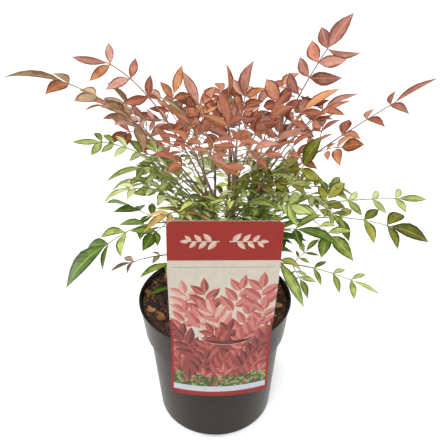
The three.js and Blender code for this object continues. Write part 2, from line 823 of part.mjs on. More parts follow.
// A side stalk carries three leaflets, one at its end and a pair a little below.
function growPinna(frond, node, out, face, where, space, airy, place) {
  const { leaflet } = frond;
  const length = leaflet * (where < 0.5 ? PINNA.stalkLow : PINNA.stalkHigh);
  const tip = node.clone().addScaledVector(out, length);
  const flat = out.clone().cross(face).normalize();
  const samples = samplesAlong(node, tip, TWIG.step);
  if (!airy(samples, REACH.twig, frond)) return;
  space.add(samples, REACH.twig, frond.name);
  frond.twigs.push({ points: [node, tip], radii: [TWIG.tip, TWIG.pinna], across: flat });
  const fork = node.clone().addScaledVector(out, length * PINNA.fork);
  const seat = node.clone().addScaledVector(out, length - TWIG.sunk);
  place(seat, out, flat, 0, leaflet * PINNA.last);
  place(fork, out, flat, PINNA.spread, leaflet * PINNA.side);
  place(fork, out, flat.clone().negate(), PINNA.spread, leaflet * PINNA.side);
}

// The stalks and leaflets of one frond are fused, each root on the axis of its twig.
function frondGeometry(frond) {
  const twigs = frond.twigs.map((t) => twigGeometry(t.points, t.radii, t.across));
  return geometryOf(fuse([...twigs, ...frond.leaves.map(leafletGeometry)]));
}

// ---------------------------------------------------------------------------- assembly

const plant = new THREE.Group();
plant.name = 'potted_heavenly_bamboo';
plant.add(named('pot', potGeometry(), 0x3e3a37, 0.45));
plant.add(named('soil', soilGeometry(), 0x33231a, 0.95));
plant.add(named('label_card', cardGeometry(), 0xa0453b, 0.35));

const canes = plantCanes();
for (const cane of canes) plant.add(named(cane.name, caneGeometry(cane), 0x6e5a48, 0.8));

for (const frond of growFronds(canes)) {
  plant.add(named(`frond_${frond.name}`, frondGeometry(frond), TINTS[frond.tint], 0.5));
}

export default plant;
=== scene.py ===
# %% [markdown]
# # A potted heavenly bamboo
#
# The plant is a young shrub with a clump of thin canes. Each of its compound leaves is a
# long stalk that carries side stalks, and these carry pointed leaflets. It grows in a
# black nursery pot with a printed card hooked on the rim. The solids of the part fix
# every size. This lesson grows the plant again by the rule of the part's source, then
# carries it on to the finer parts that the eye wants. Sizes are in millimetres until a
# mesh is made.

# %% Load the frame
import json
import math

import bmesh
import bpy
import numpy as np
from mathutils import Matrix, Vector, geometry

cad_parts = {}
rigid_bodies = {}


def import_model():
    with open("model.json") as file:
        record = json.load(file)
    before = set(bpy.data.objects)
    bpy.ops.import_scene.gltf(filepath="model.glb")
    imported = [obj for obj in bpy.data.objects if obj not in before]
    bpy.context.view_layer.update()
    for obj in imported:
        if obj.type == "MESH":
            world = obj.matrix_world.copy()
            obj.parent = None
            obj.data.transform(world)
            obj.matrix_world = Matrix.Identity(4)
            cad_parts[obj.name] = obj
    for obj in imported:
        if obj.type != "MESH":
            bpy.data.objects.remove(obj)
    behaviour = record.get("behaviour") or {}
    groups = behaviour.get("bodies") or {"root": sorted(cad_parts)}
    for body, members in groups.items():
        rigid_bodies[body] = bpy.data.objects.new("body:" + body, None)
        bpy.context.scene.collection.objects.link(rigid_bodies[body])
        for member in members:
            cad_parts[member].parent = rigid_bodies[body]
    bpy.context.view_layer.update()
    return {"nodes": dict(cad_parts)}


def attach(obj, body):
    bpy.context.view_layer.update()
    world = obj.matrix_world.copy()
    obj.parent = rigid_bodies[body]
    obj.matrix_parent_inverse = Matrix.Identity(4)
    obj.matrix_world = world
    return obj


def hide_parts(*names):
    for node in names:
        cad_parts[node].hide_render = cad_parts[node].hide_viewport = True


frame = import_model()

# %% [markdown]
# ## Small tools
#
# Colours are written as sRGB hex values, the way a painter picks them, and Blender
# mixes them as linear light, so one function turns one into the other. Every material
# is a tree of nodes. One function adds a node with its settings and its links, and
# another ends a material at its shader.

# %% Colour and node tools
MM = 0.001


def colour(code):
    channels = [int(code[k:k + 2], 16) / 255 for k in (1, 3, 5)]
    linear = [c / 12.92 if c <= 0.04045 else ((c + 0.055) / 1.055) ** 2.4 for c in channels]
    return (*linear, 1.0)


def fit(tree, node, settings, links):
    """Settings are inputs or properties. A link from a node takes its first socket in use."""
    for key, value in (settings or {}).items():
        if isinstance(key, int) or key in node.inputs:
            node.inputs[key].default_value = value
        else:
            setattr(node, key, value)
    for key, source in (links or {}).items():
        if isinstance(source, bpy.types.Node):
            source = next(output for output in source.outputs if output.enabled)
        tree.links.new(source, node.inputs[key])
    return node


def add(tree, kind, settings=None, links=None):
    return fit(tree, tree.nodes.new(kind), settings, links)


def ramp_stops(node, stops):
    elements = node.color_ramp.elements
    for place, code in stops[1:-1]:
        elements.new(place).color = colour(code)
    elements[0].position, elements[0].color = stops[0][0], colour(stops[0][1])
    elements[-1].position, elements[-1].color = stops[-1][0], colour(stops[-1][1])


def new_material(name):
    material = bpy.data.materials.new(name)
    material.use_nodes = True
    return material, material.node_tree


def dress(tree, even, patterned=None):
    """Ends a material: what is even all over its surface, and what follows a pattern."""
    fit(tree, tree.nodes["Principled BSDF"], even, patterned)


print("middle grey in linear light:", round(colour("#808080")[0], 3))


# %% Mesh tools
def new_object(name, data):
    made = bpy.data.objects.new(name, data)
    bpy.context.collection.objects.link(made)
    return made


def mesh_piece(name, points, faces, smooth=True):
    """A mesh object from points in millimetres, standing at the origin."""
    mesh = bpy.data.meshes.new(name)
    mesh.from_pydata([tuple(p) for p in np.asarray(points) * MM], [], faces)
    mesh.polygons.foreach_set("use_smooth", [smooth] * len(mesh.polygons))
    mesh.update()
    return new_object(name, mesh)


def settle(piece):
    """Turns what the modifiers make of a piece into a plain mesh."""
    graph = bpy.context.evaluated_depsgraph_get()
    made = bpy.data.meshes.new_from_object(piece.evaluated_get(graph))
    piece.modifiers.clear()
    piece.data = made
    made.name = piece.name
    return piece


def shades_smooth_below(piece, degrees):
    """Edges sharper than an angle stay crisp, the rest shade as one round surface."""
    mesh = bmesh.new()
    mesh.from_mesh(piece.data)
    for edge in mesh.edges:
        edge.smooth = len(edge.link_faces) == 2 and edge.calc_face_angle() < math.radians(degrees)
    mesh.to_mesh(piece.data)
    mesh.free()


print("a millimetre of the lists is", MM, "m in a mesh")


# %% Rings of points, and faces between them
def mix(a, b, t):
    return a + (b - a) * t


def ring(out, height, spokes):
    """Points round the axis, at one height or at the height that a rule gives."""
    points = []
    for s in range(spokes):
        a = 2 * math.pi * s / spokes
        x, y = out * math.cos(a), out * math.sin(a)
        points.append((x, y, height(x, y) if callable(height) else height))
    return points


def walls(rings, spokes, start=0):
    """Faces between rings of points that lie one outside or below the other."""
    faces = []
    for a in range(start, start + (rings - 1) * spokes, spokes):
        b = a + spokes
        for s in range(spokes):
            n = (s + 1) % spokes
            faces.append((a + s, b + s, b + n, a + n))
    return faces


def closed_skin(top, rings, foot):
    """A solid of rings that run outwards and down from one point to another."""
    spokes = len(rings[0])
    points = [top] + [p for r in rings for p in r] + [foot]
    end, faces = len(points) - 1, walls(len(rings), spokes, 1)
    for s in range(spokes):
        n = (s + 1) % spokes
        faces += [(0, 1 + s, 1 + n), (end - spokes + s, end, end - spokes + n)]
    return points, faces


def joined(parts):
    """The points and faces of several meshes as one."""
    points, faces = [], []
    for more, own in parts:
        faces += [tuple(v + len(points) for v in face) for face in own]
        points += list(more)
    return points, faces


print("faces between three rings of six points:", len(walls(3, 6)))

# %% [markdown]
# ## Camera
#
# The view is from a little above, as a person sees a pot on a bench. The numbers come
# from fitting a pinhole camera to the round rim, the step and the foot of the pot and to
# the straight edges of the card.

# %% Camera
CAMERA_AT = (6.2, -555.5, 583.7)
CAMERA_DOWN = 28.84  # degrees below the horizon
FOCAL_PIXELS = 545
PICTURE_HEIGHT = 442

camera_data = bpy.data.cameras.new("camera")
camera_data.sensor_fit = "VERTICAL"
camera_data.sensor_height = 24
camera_data.lens = FOCAL_PIXELS * camera_data.sensor_height / PICTURE_HEIGHT
camera = new_object("camera", camera_data)
camera.location = [v * MM for v in CAMERA_AT]
camera.rotation_euler = (math.radians(90 - CAMERA_DOWN), 0, 0)
bpy.context.scene.camera = camera
print("lens:", round(camera_data.lens, 2), "mm")

# %% [markdown]
# ## Nursery pot
#
# The pot is one thin wall of black polypropylene. It was moulded in one shot, so every
# corner has a small rounding and there is no seam. A half section turned round an axis
# is the natural way to draw it. The section's corners are rounded first, because a sharp
# black edge shows no light, while a rounded one shows the thin bright line that makes
# moulded plastic look real. The drain holes are cut by a Boolean modifier.

# %% Half section of the pot
GAP = 0.3
POT = dict(height=173, rim=95, lip_height=2.6, lip=1.2, collar_foot=127, collar_radius=89,
           step=3.4, body_top=84, base=74, wall=1.6, floor=3)
HOLES = dict(count=8, radius=6, ring=56)
SEGMENTS = 144


def rounded(corners, steps=5):
    """Points of a path whose corners (x, y, radius) are rounded by arcs."""
    path = []
    for k, (x, y, radius) in enumerate(corners):
        here = np.array([x, y], float)
        if radius == 0 or k in (0, len(corners) - 1):
            path.append(here)
            continue
        before = np.array(corners[k - 1][:2], float) - here
        after = np.array(corners[k + 1][:2], float) - here
        a, b = before / np.linalg.norm(before), after / np.linalg.norm(after)
        half = math.acos(np.clip(a @ b, -1, 1)) / 2
        back = radius / math.tan(half)
        centre = here + (a + b) / np.linalg.norm(a + b) * radius / math.sin(half)
        start, end = here + a * back - centre, here + b * back - centre
        turn = math.acos(np.clip(start @ end / radius**2, -1, 1))
        for s in range(steps + 1):
            f = s / steps
            path.append(centre + (start * math.sin((1 - f) * turn) + end * math.sin(f * turn))
                        / math.sin(turn))
    return np.array(path)


rim_foot = POT["height"] - POT["lip_height"]
under_lip = POT["rim"] - POT["lip"]
pot_section = rounded([
    (0, 0, 0),
    (POT["base"] - 12, 0, 0),
    (POT["base"] - 9, 1.6, 1),
    (POT["base"], 1.0, 6),
    (POT["body_top"] - 0.1, POT["collar_foot"] - POT["step"], 2),
    (POT["collar_radius"], POT["collar_foot"], 1.6),
    (under_lip, rim_foot, 0.5),
    (POT["rim"], rim_foot + 0.4, 0.4),
    (POT["rim"], POT["height"], 0.7),
    (POT["rim"] - POT["wall"], POT["height"], 0.7),
    (under_lip - POT["wall"], rim_foot - 1, 0.5),
    (POT["collar_radius"] - POT["wall"], POT["collar_foot"] + POT["wall"], 1),
    (POT["body_top"] - POT["wall"], POT["collar_foot"] - POT["step"] + POT["wall"], 1),
    (POT["base"] - POT["wall"], POT["floor"], 4),
    (0, POT["floor"], 0),
])
print("pot section:", len(pot_section), "points")

# %% Turn the section, and cut the drain holes
rings = [ring(out, z, SEGMENTS) for out, z in pot_section[-2:0:-1]]
pot = mesh_piece("nursery_pot", *closed_skin((0, 0, POT["floor"]), rings, (0, 0, 0)))
drill = bmesh.new()
for k in range(HOLES["count"]):
    turn = 2 * math.pi * (k + 0.5) / HOLES["count"]
    hole = bmesh.ops.create_cone(drill, cap_ends=True, segments=24,
                                 radius1=HOLES["radius"] * MM, radius2=HOLES["radius"] * MM,
                                 depth=4 * POT["floor"] * MM)
    bmesh.ops.translate(drill, verts=hole["verts"], vec=(
        HOLES["ring"] * math.cos(turn) * MM, HOLES["ring"] * math.sin(turn) * MM, 0))
drill_mesh = bpy.data.meshes.new("drill")
drill.to_mesh(drill_mesh)
drill.free()
drill_piece = new_object("drill", drill_mesh)
cut = pot.modifiers.new("drain_holes", "BOOLEAN")
cut.operation, cut.object, cut.solver = "DIFFERENCE", drill_piece, "EXACT"
settle(pot)
bpy.data.objects.remove(drill_piece)
shades_smooth_below(pot, 50)
print("pot:", len(pot.data.polygons), "faces")

# %% [markdown]
# ### Moulded polypropylene
#
# Black nursery pots are moulded from recycled polypropylene. It is a dark warm grey
# rather than a true black, with a satin gloss. Fine grinding marks of the mould run round
# it, and a thin uneven haze of compost dust dulls it and gives it a faint sheen. The IOR
# of polypropylene is 1.49.

# %% Material of the pot
plastic, tree = new_material("moulded_black_polypropylene")
place = add(tree, "ShaderNodeTexCoord").outputs["Object"]
haze = add(tree, "ShaderNodeTexNoise", {"Scale": 28, "Detail": 4, "Roughness": 0.6},
           {"Vector": place})
stretched = add(tree, "ShaderNodeMapping", {"Scale": (40, 40, 900)}, {"Vector": place})
marks = add(tree, "ShaderNodeTexNoise", {"Scale": 1, "Detail": 2}, {"Vector": stretched})
tone = add(tree, "ShaderNodeValToRGB", links={"Fac": haze})
ramp_stops(tone, [(0.3, "#14100c"), (0.6, "#1c1610"), (0.85, "#261e17")])
gloss = add(tree, "ShaderNodeMapRange", {"To Min": 0.3, "To Max": 0.44}, {"Value": haze})
relief = add(tree, "ShaderNodeBump", {"Strength": 0.12, "Distance": 0.0003}, {"Height": marks})
dress(tree, {"IOR": 1.49, "Specular IOR Level": 0.18, "Sheen Weight": 0.14,
             "Sheen Roughness": 0.18, "Sheen Tint": colour("#d8c8b8")},
      {"Base Color": tone, "Roughness": gloss, "Normal": relief})
pot.data.materials.append(plastic)
print("material:", plastic.name)

# %% [markdown]
# ## Random numbers that always fall the same way
#
# The part's source grows the plant with a small 32-bit generator. Python has whole
# numbers without limit, so each step is cut back to 32 bits, and the same seed then
# gives the same plant here.

# %% Generator
SEED = 20611
BITS = 0xFFFFFFFF


def random_from(seed):
    state = seed & BITS

    def draw():
        nonlocal state
        state = (state + 0x6D2B79F5) & BITS
        word = ((state ^ (state >> 15)) * (state | 1)) & BITS
        word ^= (word + (((word ^ (word >> 7)) * (word | 61)) & BITS)) & BITS
        return (word ^ (word >> 14)) / (BITS + 1)

    return draw


def give_or_take(draw):
    """A random number from -1 to 1."""
    return mix(-1, 1, draw())


print("first draw:", round(random_from(SEED)(), 4))

# %% [markdown]
# ## Compost
#
# The pot is filled almost to the rim with dark bark compost. It is a low uneven bed that
# banks up at the wall, with chips of pine bark lying at all angles on it, from near black
# to fresh tan. The bed is a disc of rings pushed up and down by a few waves. Bark is matt,
# so its roughness is high. The chips are scattered by Geometry Nodes, because that is what
# the nodes do best: points dealt over a surface, one of a few chip shapes on each point,
# and a random turn, size and tint for each.

# %% Compost bed
SOIL = dict(level=160, flat=36, easing=20, mound=0.9, drop=1.6, drop_width=18, bank=7.5,
            bank_from=54)
BED_RINGS, BED_SPOKES = 44, 120
soil_edge_z = SOIL["level"] - SOIL["drop"]
edge_share = (soil_edge_z - POT["collar_foot"]) / (rim_foot - POT["collar_foot"])
soil_radius = mix(POT["collar_radius"], under_lip, edge_share) - POT["wall"] - GAP - 0.1


def soil_height(x, y):
    """Height of the bed. It is level near the canes, and banked up towards the wall."""
    out = math.hypot(x, y)
    bank = min(max((out - SOIL["bank_from"]) / (soil_radius - SOIL["bank_from"]), 0), 1)
    away = min(max((out - SOIL["flat"]) / SOIL["easing"], 0), 1)
    edge = max((out - soil_radius + SOIL["drop_width"]) / SOIL["drop_width"], 0)
    # Three waves, from long to short.
    waves = (1.1 * math.sin(x / 9 + 1.3 * math.cos(y / 13)) + 0.9 * math.cos(y / 7 - x / 17)
             + 0.5 * math.sin(x / 3.1 + y / 4.3))
    return (SOIL["level"] + away * (SOIL["mound"] + waves) - SOIL["drop"] * edge**2
            + SOIL["bank"] * bank)


rings = [ring(soil_radius * r / BED_RINGS, soil_height, BED_SPOKES)
         for r in range(1, BED_RINGS + 1)]
rings += [ring(out, z, BED_SPOKES) for out, z in (
    (POT["collar_radius"] - POT["wall"] - 1, POT["collar_foot"] + 4),
    (POT["body_top"] - POT["wall"] - 1, POT["collar_foot"] - POT["step"] - 2),
    (POT["base"] - 6, POT["floor"] + GAP))]
soil = mesh_piece("compost_bed", *closed_skin((0, 0, SOIL["level"]), rings,
                                              (0, 0, POT["floor"] + GAP)))
print("compost bed:", len(soil.data.polygons), "faces, radius", round(soil_radius, 1), "mm")

# %% Material of the compost
compost, tree = new_material("composted_pine_bark")
place = add(tree, "ShaderNodeTexCoord").outputs["Object"]
grains = add(tree, "ShaderNodeTexVoronoi", {"Scale": 330}, {"Vector": place})
clods = add(tree, "ShaderNodeTexNoise", {"Scale": 95, "Detail": 6, "Roughness": 0.7},
            {"Vector": place})
tone = add(tree, "ShaderNodeValToRGB", links={"Fac": clods})
ramp_stops(tone, [(0.3, "#1a0f0a"), (0.46, "#301e14"), (0.6, "#533522"), (0.78, "#7d5537")])
heights = add(tree, "ShaderNodeMath", {"operation": "MULTIPLY"}, {0: grains, 1: clods})
relief = add(tree, "ShaderNodeBump", {"Strength": 0.9, "Distance": 0.002}, {"Height": heights})
dress(tree, {"Roughness": 0.92}, {"Base Color": tone, "Normal": relief})
soil.data.materials.append(compost)
print("material:", compost.name)

# %% Chip shapes
CHIPS = [(14, 6.5, 2.6), (9, 6, 2.4), (18, 4.6, 2.8), (7, 4, 2), (11, 9, 2.2)]  # mm
CHIP_STATIONS, CHIP_TAPER = (-1, -0.35, 0.4, 1), 0.3
CHIP_PUSH = (0.14, 0.3, 0.4)  # along, across and up, as shares of half the size


def chip_shape(name, size, draw):
    """A flake of bark: a box with broken ends, its corners pushed about."""
    points = []
    for x in CHIP_STATIONS:
        taper = 1 - CHIP_TAPER * abs(x)
        for y, z in ((-1, -1), (1, -1), (1, 1), (-1, 1)):
            corner = zip(size, (x, y, z), CHIP_PUSH, (1, taper, taper))
            points.append([full * narrow * (at + push * give_or_take(draw)) / 2
                           for full, at, push, narrow in corner])
    faces = [(0, 3, 2, 1), (12, 13, 14, 15)]
    for k in (0, 4, 8):
        for s in range(4):
            n = (s + 1) % 4
            faces.append((k + s, k + n, k + 4 + n, k + 4 + s))
    return mesh_piece(name, points, faces, smooth=False)


chip_draw = random_from(SEED + 7)
chip_kinds = bpy.data.collections.new("chip_kinds")
bpy.context.scene.collection.children.link(chip_kinds)
for k, size in enumerate(CHIPS):
    kind = chip_shape(f"chip_{k + 1}", size, chip_draw)
    bpy.context.collection.objects.unlink(kind)
    chip_kinds.objects.link(kind)


# %% Ends of a node tree
def new_tree(name, inputs):
    """A Geometry Nodes tree that takes and gives a mesh, and has named inputs."""
    tree = bpy.data.node_groups.new(name, "GeometryNodeTree")
    tree.interface.new_socket("Taken", in_out="INPUT", socket_type="NodeSocketGeometry")
    tree.interface.new_socket("Made", in_out="OUTPUT", socket_type="NodeSocketGeometry")
    for label, kind, default in inputs:
        item = tree.interface.new_socket(label, in_out="INPUT", socket_type=f"NodeSocket{kind}")
        if default is not None:
            item.default_value = default
    tree.interface.new_socket("Finish", in_out="INPUT", socket_type="NodeSocketMaterial")
    return tree, add(tree, "NodeGroupInput").outputs


def end_tree(tree, given, shape):
    """Makes the instances real meshes, and gives them their finish."""
    real = add(tree, "GeometryNodeRealizeInstances", links={"Geometry": shape})
    finish = add(tree, "GeometryNodeSetMaterial",
                 links={"Geometry": real, "Material": given["Finish"]})
    add(tree, "NodeGroupOutput", links={"Made": finish})
    return tree


def run_nodes(piece, tree, values):
    """Runs a node tree on a piece with values for its named inputs, and keeps the mesh."""
    step = piece.modifiers.new(tree.name, "NODES")
    step.node_group = tree
    for item in tree.interface.items_tree:
        if item.in_out == "INPUT" and item.name in values:
            step[item.identifier] = values[item.name]
    return settle(piece)


print("sockets of every tree: Taken and Finish go in, Made comes out")


# %% Scatter tree
def scatter_tree():
    """Geometry Nodes that lay flakes from a collection over the mesh they get."""
    tree, given = new_tree("scatter_flakes", [
        ("Kinds", "Collection", None), ("Count per area", "Float", 1000.0),
        ("Spacing", "Float", 0.004), ("Smallest", "Float", 0.6), ("Largest", "Float", 1.2),
        ("Tilt", "Float", 0.5), ("Seed", "Int", 1)])
    deal = add(tree, "GeometryNodeDistributePointsOnFaces", {"distribute_method": "POISSON"}, {
        "Mesh": given["Taken"], "Density Max": given["Count per area"],
        "Distance Min": given["Spacing"], "Seed": given["Seed"]})
    kinds = add(tree, "GeometryNodeCollectionInfo",
                {"Separate Children": True, "Reset Children": True},
                {"Collection": given["Kinds"]})
    tilt_back = add(tree, "ShaderNodeMath", {"operation": "MULTIPLY", 1: -1.0}, {0: given["Tilt"]})
    lowest = add(tree, "ShaderNodeCombineXYZ", links={"X": tilt_back, "Y": tilt_back})
    highest = add(tree, "ShaderNodeCombineXYZ", {"Z": 2 * math.pi},
                  {"X": given["Tilt"], "Y": given["Tilt"]})
    turn = add(tree, "FunctionNodeRandomValue", {"data_type": "FLOAT_VECTOR"},
               {0: lowest, 1: highest, "Seed": given["Seed"]})
    size = add(tree, "FunctionNodeRandomValue", {"data_type": "FLOAT"},
               {2: given["Smallest"], 3: given["Largest"], "Seed": given["Seed"]})
    flakes = add(tree, "GeometryNodeInstanceOnPoints", {"Pick Instance": True},
                 {"Points": deal, "Instance": kinds, "Rotation": turn, "Scale": size})
    shade = add(tree, "FunctionNodeRandomValue", {"data_type": "FLOAT", "Seed": 91})
    tinted = add(tree, "GeometryNodeStoreNamedAttribute",
                 {"data_type": "FLOAT", "domain": "INSTANCE", "Name": "tint"},
                 {"Geometry": flakes, "Value": shade})
    return end_tree(tree, given, tinted)


scatter = scatter_tree()
print("nodes that scatter:", len(scatter.nodes))

# %% Material of the chips
bark_chip, tree = new_material("chipped_pine_bark")
place = add(tree, "ShaderNodeTexCoord").outputs["Object"]
tint = add(tree, "ShaderNodeAttribute", {"attribute_name": "tint"}).outputs["Fac"]
kind_tone = add(tree, "ShaderNodeValToRGB", links={"Fac": tint})
ramp_stops(kind_tone, [(0.0, "#1a100b"), (0.34, "#3b2318"), (0.6, "#6a4028"), (0.8, "#935e34"),
                       (1.0, "#b88757")])
fibre = add(tree, "ShaderNodeTexNoise", {"Scale": 260, "Detail": 5, "Roughness": 0.65},
            {"Vector": place})
dark = add(tree, "ShaderNodeMapRange", {"From Min": 0.3, "From Max": 0.7, "To Min": 0.5,
                                        "To Max": 1.25}, {"Value": fibre})
tone = add(tree, "ShaderNodeMix", {"data_type": "RGBA", "blend_type": "MULTIPLY", 0: 1.0},
           {6: kind_tone, 7: dark})
relief = add(tree, "ShaderNodeBump", {"Strength": 0.6, "Distance": 0.0006}, {"Height": fibre})
dress(tree, {"Roughness": 0.85}, {"Base Color": tone, "Normal": relief})
print("material:", bark_chip.name)

# %% Lay the chips and the finer crumbs
GROUND_RINGS, GROUND_SPOKES = 13, 60


def scattered(name, inner, outer, lift, values):
    """Flakes on a ring of the bed, clear of canes and wall."""
    rings = [ring(mix(inner, outer, r / (GROUND_RINGS - 1)), soil_height, GROUND_SPOKES)
             for r in range(GROUND_RINGS)]
    points = [(x, y, z + lift) for row in rings for x, y, z in row]
    ground = mesh_piece(name, points, walls(GROUND_RINGS, GROUND_SPOKES))
    return run_nodes(ground, scatter, dict(values, Kinds=chip_kinds, Finish=bark_chip))


chips = scattered("bark_chips", 34, soil_radius - 9, 0.7, {
    "Count per area": 40000.0, "Spacing": 0.0048, "Smallest": 0.5, "Largest": 1.5, "Tilt": 0.8,
    "Seed": 5})
crumbs = scattered("bark_crumbs", 24, soil_radius - 3, 0.2, {
    "Count per area": 120000.0, "Spacing": 0.0023, "Smallest": 0.18, "Largest": 0.45,
    "Tilt": 1.1, "Seed": 11})
for kind in list(chip_kinds.objects):
    bpy.data.objects.remove(kind)
bpy.data.collections.remove(chip_kinds)
print("chips:", len(chips.data.polygons), "faces, crumbs:", len(crumbs.data.polygons), "faces")

# %% [markdown]
# ## Picture card
#
# The card is a stiff printed plastic sheet. A tongue cut out of it hooks over the rim,
# and the foot of the sheet follows the round pot. The print is plain here: a header band,
# a pale panel, sprigs of rounded leaves in reds, and a strip of green leaves over a pale
# one along the foot. Its shapes are flat polygons cut into the sheet's own triangles, so
# each colour is a material on part of one mesh, and the ink lies exactly on the plastic.

# %% Shape of the sheet
CARD = dict(width=114.5, foot=98, top=331, corner=6, thickness=0.8, front=-96.3, foot_x=5.2,
            top_x=11.3, turn=0.04, rim_bend=1 / 130, foot_bend=1 / 168, flat_from=280,
            slot_shift=8, slot_half=30, slot_top=181.5, slot_foot=170.5, tongue_radius=90.4,
            tongue_foot=163.5)
CARD_HALF = CARD["width"] / 2


def card_rise(z):
    return (z - CARD["foot"]) / (CARD["top"] - CARD["foot"])


def card_centre(z):
    return mix(CARD["foot_x"], CARD["top_x"], card_rise(z))


def card_bend(z):
    """One over the radius of the sheet's bend, which is strongest at the rim."""
    if z < POT["height"]:
        return mix(CARD["foot_bend"], CARD["rim_bend"],
                   (z - CARD["foot"]) / (POT["height"] - CARD["foot"]))
    return CARD["rim_bend"] * max((CARD["flat_from"] - z) / (CARD["flat_from"] - POT["height"]), 0)


def card_depth(out, z):
    return CARD["front"] + out * CARD["turn"] * (1 - card_rise(z)) + out * out * card_bend(z) / 2


def card_out(across, z):
    """How far right a point lies whose way along the sheet is given. A bend draws it in."""
    return across * (1 - (across * card_bend(z)) ** 2 / 6)


def rounded_box(left, foot, right, top, corner, steps=6):
    path = []
    for x, z, start in ((right - corner, foot + corner, -90), (right - corner, top - corner, 0),
                        (left + corner, top - corner, 90), (left + corner, foot + corner, 180)):
        for s in range(steps + 1):
            a = math.radians(start + 90 * s / steps)
            path.append((x + corner * math.cos(a), z + corner * math.sin(a)))
    return path


def above(path, level):
    """The part of a closed outline above a level."""
    kept = []
    for (x0, z0), (x1, z1) in zip(path, path[1:] + path[:1]):
        if z0 >= level:
            kept.append((x0, z0))
        if (z0 >= level) != (z1 >= level):
            kept.append((mix(x0, x1, (level - z0) / (z1 - z0)), level))
    return kept


def smile(top, foot, steps=16):
    """The slot from which the tongue was cut: an arc below and a straight hinge above."""
    path = []
    for s in range(steps + 1):
        f = s / steps
        x = mix(-CARD["slot_half"], CARD["slot_half"], f) + CARD["slot_shift"]
        path.append((x, top - (top - foot) * 4 * f * (1 - f)))
    return path


print("bend of the sheet at the rim: 1 /", round(1 / card_bend(POT["height"])), "mm")


# %% Shapes of the print
PANEL, HEADER, LINE, DEEP, RED, ROSE, PINK, GREEN, LEAFY, SKY, REVERSE, MAROON, SPROUT = range(13)
LAYOUT = dict(header=286, line=(277.6, 278.1), line_inset=5, header_sprigs=308, border=3,
              foot_band=104, side_bands=205, drift=192)
inside = CARD_HALF - LAYOUT["border"]
# Foot, number of sprigs, size and shades of each row.
PALE_SPRIGS = [(RED, ROSE, PINK), (DEEP, RED, PINK), (RED, ROSE, ROSE), (ROSE, PINK, ROSE)]
DARK_SPRIGS = [(DEEP, RED, ROSE), (RED, ROSE, RED), (DEEP, RED, DEEP), (MAROON, DEEP, RED)]
SPRIG_ROWS = [(214, 4, 28, PALE_SPRIGS), (192, 5, 26, PALE_SPRIGS), (172, 6, 24, DARK_SPRIGS),
              (152, 6, 23, DARK_SPRIGS), (132, 6, 21, DARK_SPRIGS), (112, 6, 19, DARK_SPRIGS)]
HEDGE = dict(foot=111, top=128, leaves=165, leaf=(4.5, 7))
HEDGE_SHADES = [(GREEN, LEAFY), (LEAFY, SPROUT), (GREEN, GREEN), (SPROUT, LEAFY), (DEEP, RED)]


def box(left, foot, right, top):
    return [(left, foot), (right, foot), (right, top), (left, top)]


def turned_by(points, x, z, turn):
    c, n = math.cos(turn), math.sin(turn)
    return [(x + a * c - b * n, z + a * n + b * c) for a, b in points]


def printed_leaf(x, z, length, turn, shade, light, rib, width=0.46):
    """An egg-shaped leaf with a short point: one half dark, one light, and a midrib."""
    shares = [(0, 0), (0.08, 0.2), (0.22, 0.42), (0.4, 0.5), (0.6, 0.45), (0.78, 0.29),
              (0.9, 0.13), (1, 0)]
    edge = [(s * length, w * length * width) for s, w in shares]
    full = edge + [(s, -w) for s, w in edge[-2:0:-1]]
    shapes = [(shade, turned_by(full, x, z, turn)), (light, turned_by(edge, x, z, turn))]
    if rib != shade:
        line = [(0, -0.3), (length * 0.85, -0.08), (length * 0.85, 0.08), (0, 0.3)]
        shapes.append((rib, turned_by(line, x, z, turn)))
    return shapes


def printed_sprig(x, z, length, turn, size, shades, leaves=5):
    """A stem with leaves set left and right in turn, each smaller than the one below."""
    stem = [(0, -0.6), (length, -0.3), (length, 0.3), (0, 0.6)]
    shapes = [(shades[2], turned_by(stem, x, z, turn))]
    for k in range(leaves + 1):
        share = min((k + 0.6) / leaves, 1)
        lean = 0 if k == leaves else 0.85 * (-1) ** k
        at = (x + math.cos(turn) * length * share, z + math.sin(turn) * length * share)
        shapes += printed_leaf(*at, size * (1 - 0.3 * share), turn + lean, *shades)
    return shapes


outline = rounded_box(-CARD_HALF, CARD["foot"], CARD_HALF, CARD["top"], CARD["corner"])
line_end = CARD_HALF - LAYOUT["line_inset"]
prints = [(PANEL, outline), (HEADER, above(outline, LAYOUT["header"])),
          (LINE, box(-line_end, LAYOUT["line"][0], line_end, LAYOUT["line"][1]))]
# Two small pale sprigs point away from each other in the header.
for start, turn in ((-5, math.pi), (5, 0.0)):
    prints += printed_sprig(start, LAYOUT["header_sprigs"], 30, turn, 13, (PANEL, PINK, PANEL),
                            leaves=6)
# A drift of deep red with a wavy upper edge fills the lower half, under rows of sprigs.
prints.append((DEEP, [(-inside, LAYOUT["foot_band"]), (inside, LAYOUT["foot_band"])] + [
    (x, LAYOUT["drift"] + 7 * math.sin(x / 11.0) + 0.2 * x)
    for x in np.linspace(inside, -inside, 28)]))
sprig_draw = random_from(SEED + 21)
for foot, count, size, kinds in SPRIG_ROWS:
    for k in range(count):
        x = mix(-46, 46, (k + 0.5) / count) + 7 * give_or_take(sprig_draw)
        z = foot + 6 * give_or_take(sprig_draw)
        turn = math.radians(90 - 0.5 * x + 34 * give_or_take(sprig_draw))
        prints += printed_sprig(x, z, size * 1.2, turn, size * mix(0.85, 1.1, sprig_draw()),
                                kinds[int(len(kinds) * sprig_draw())])
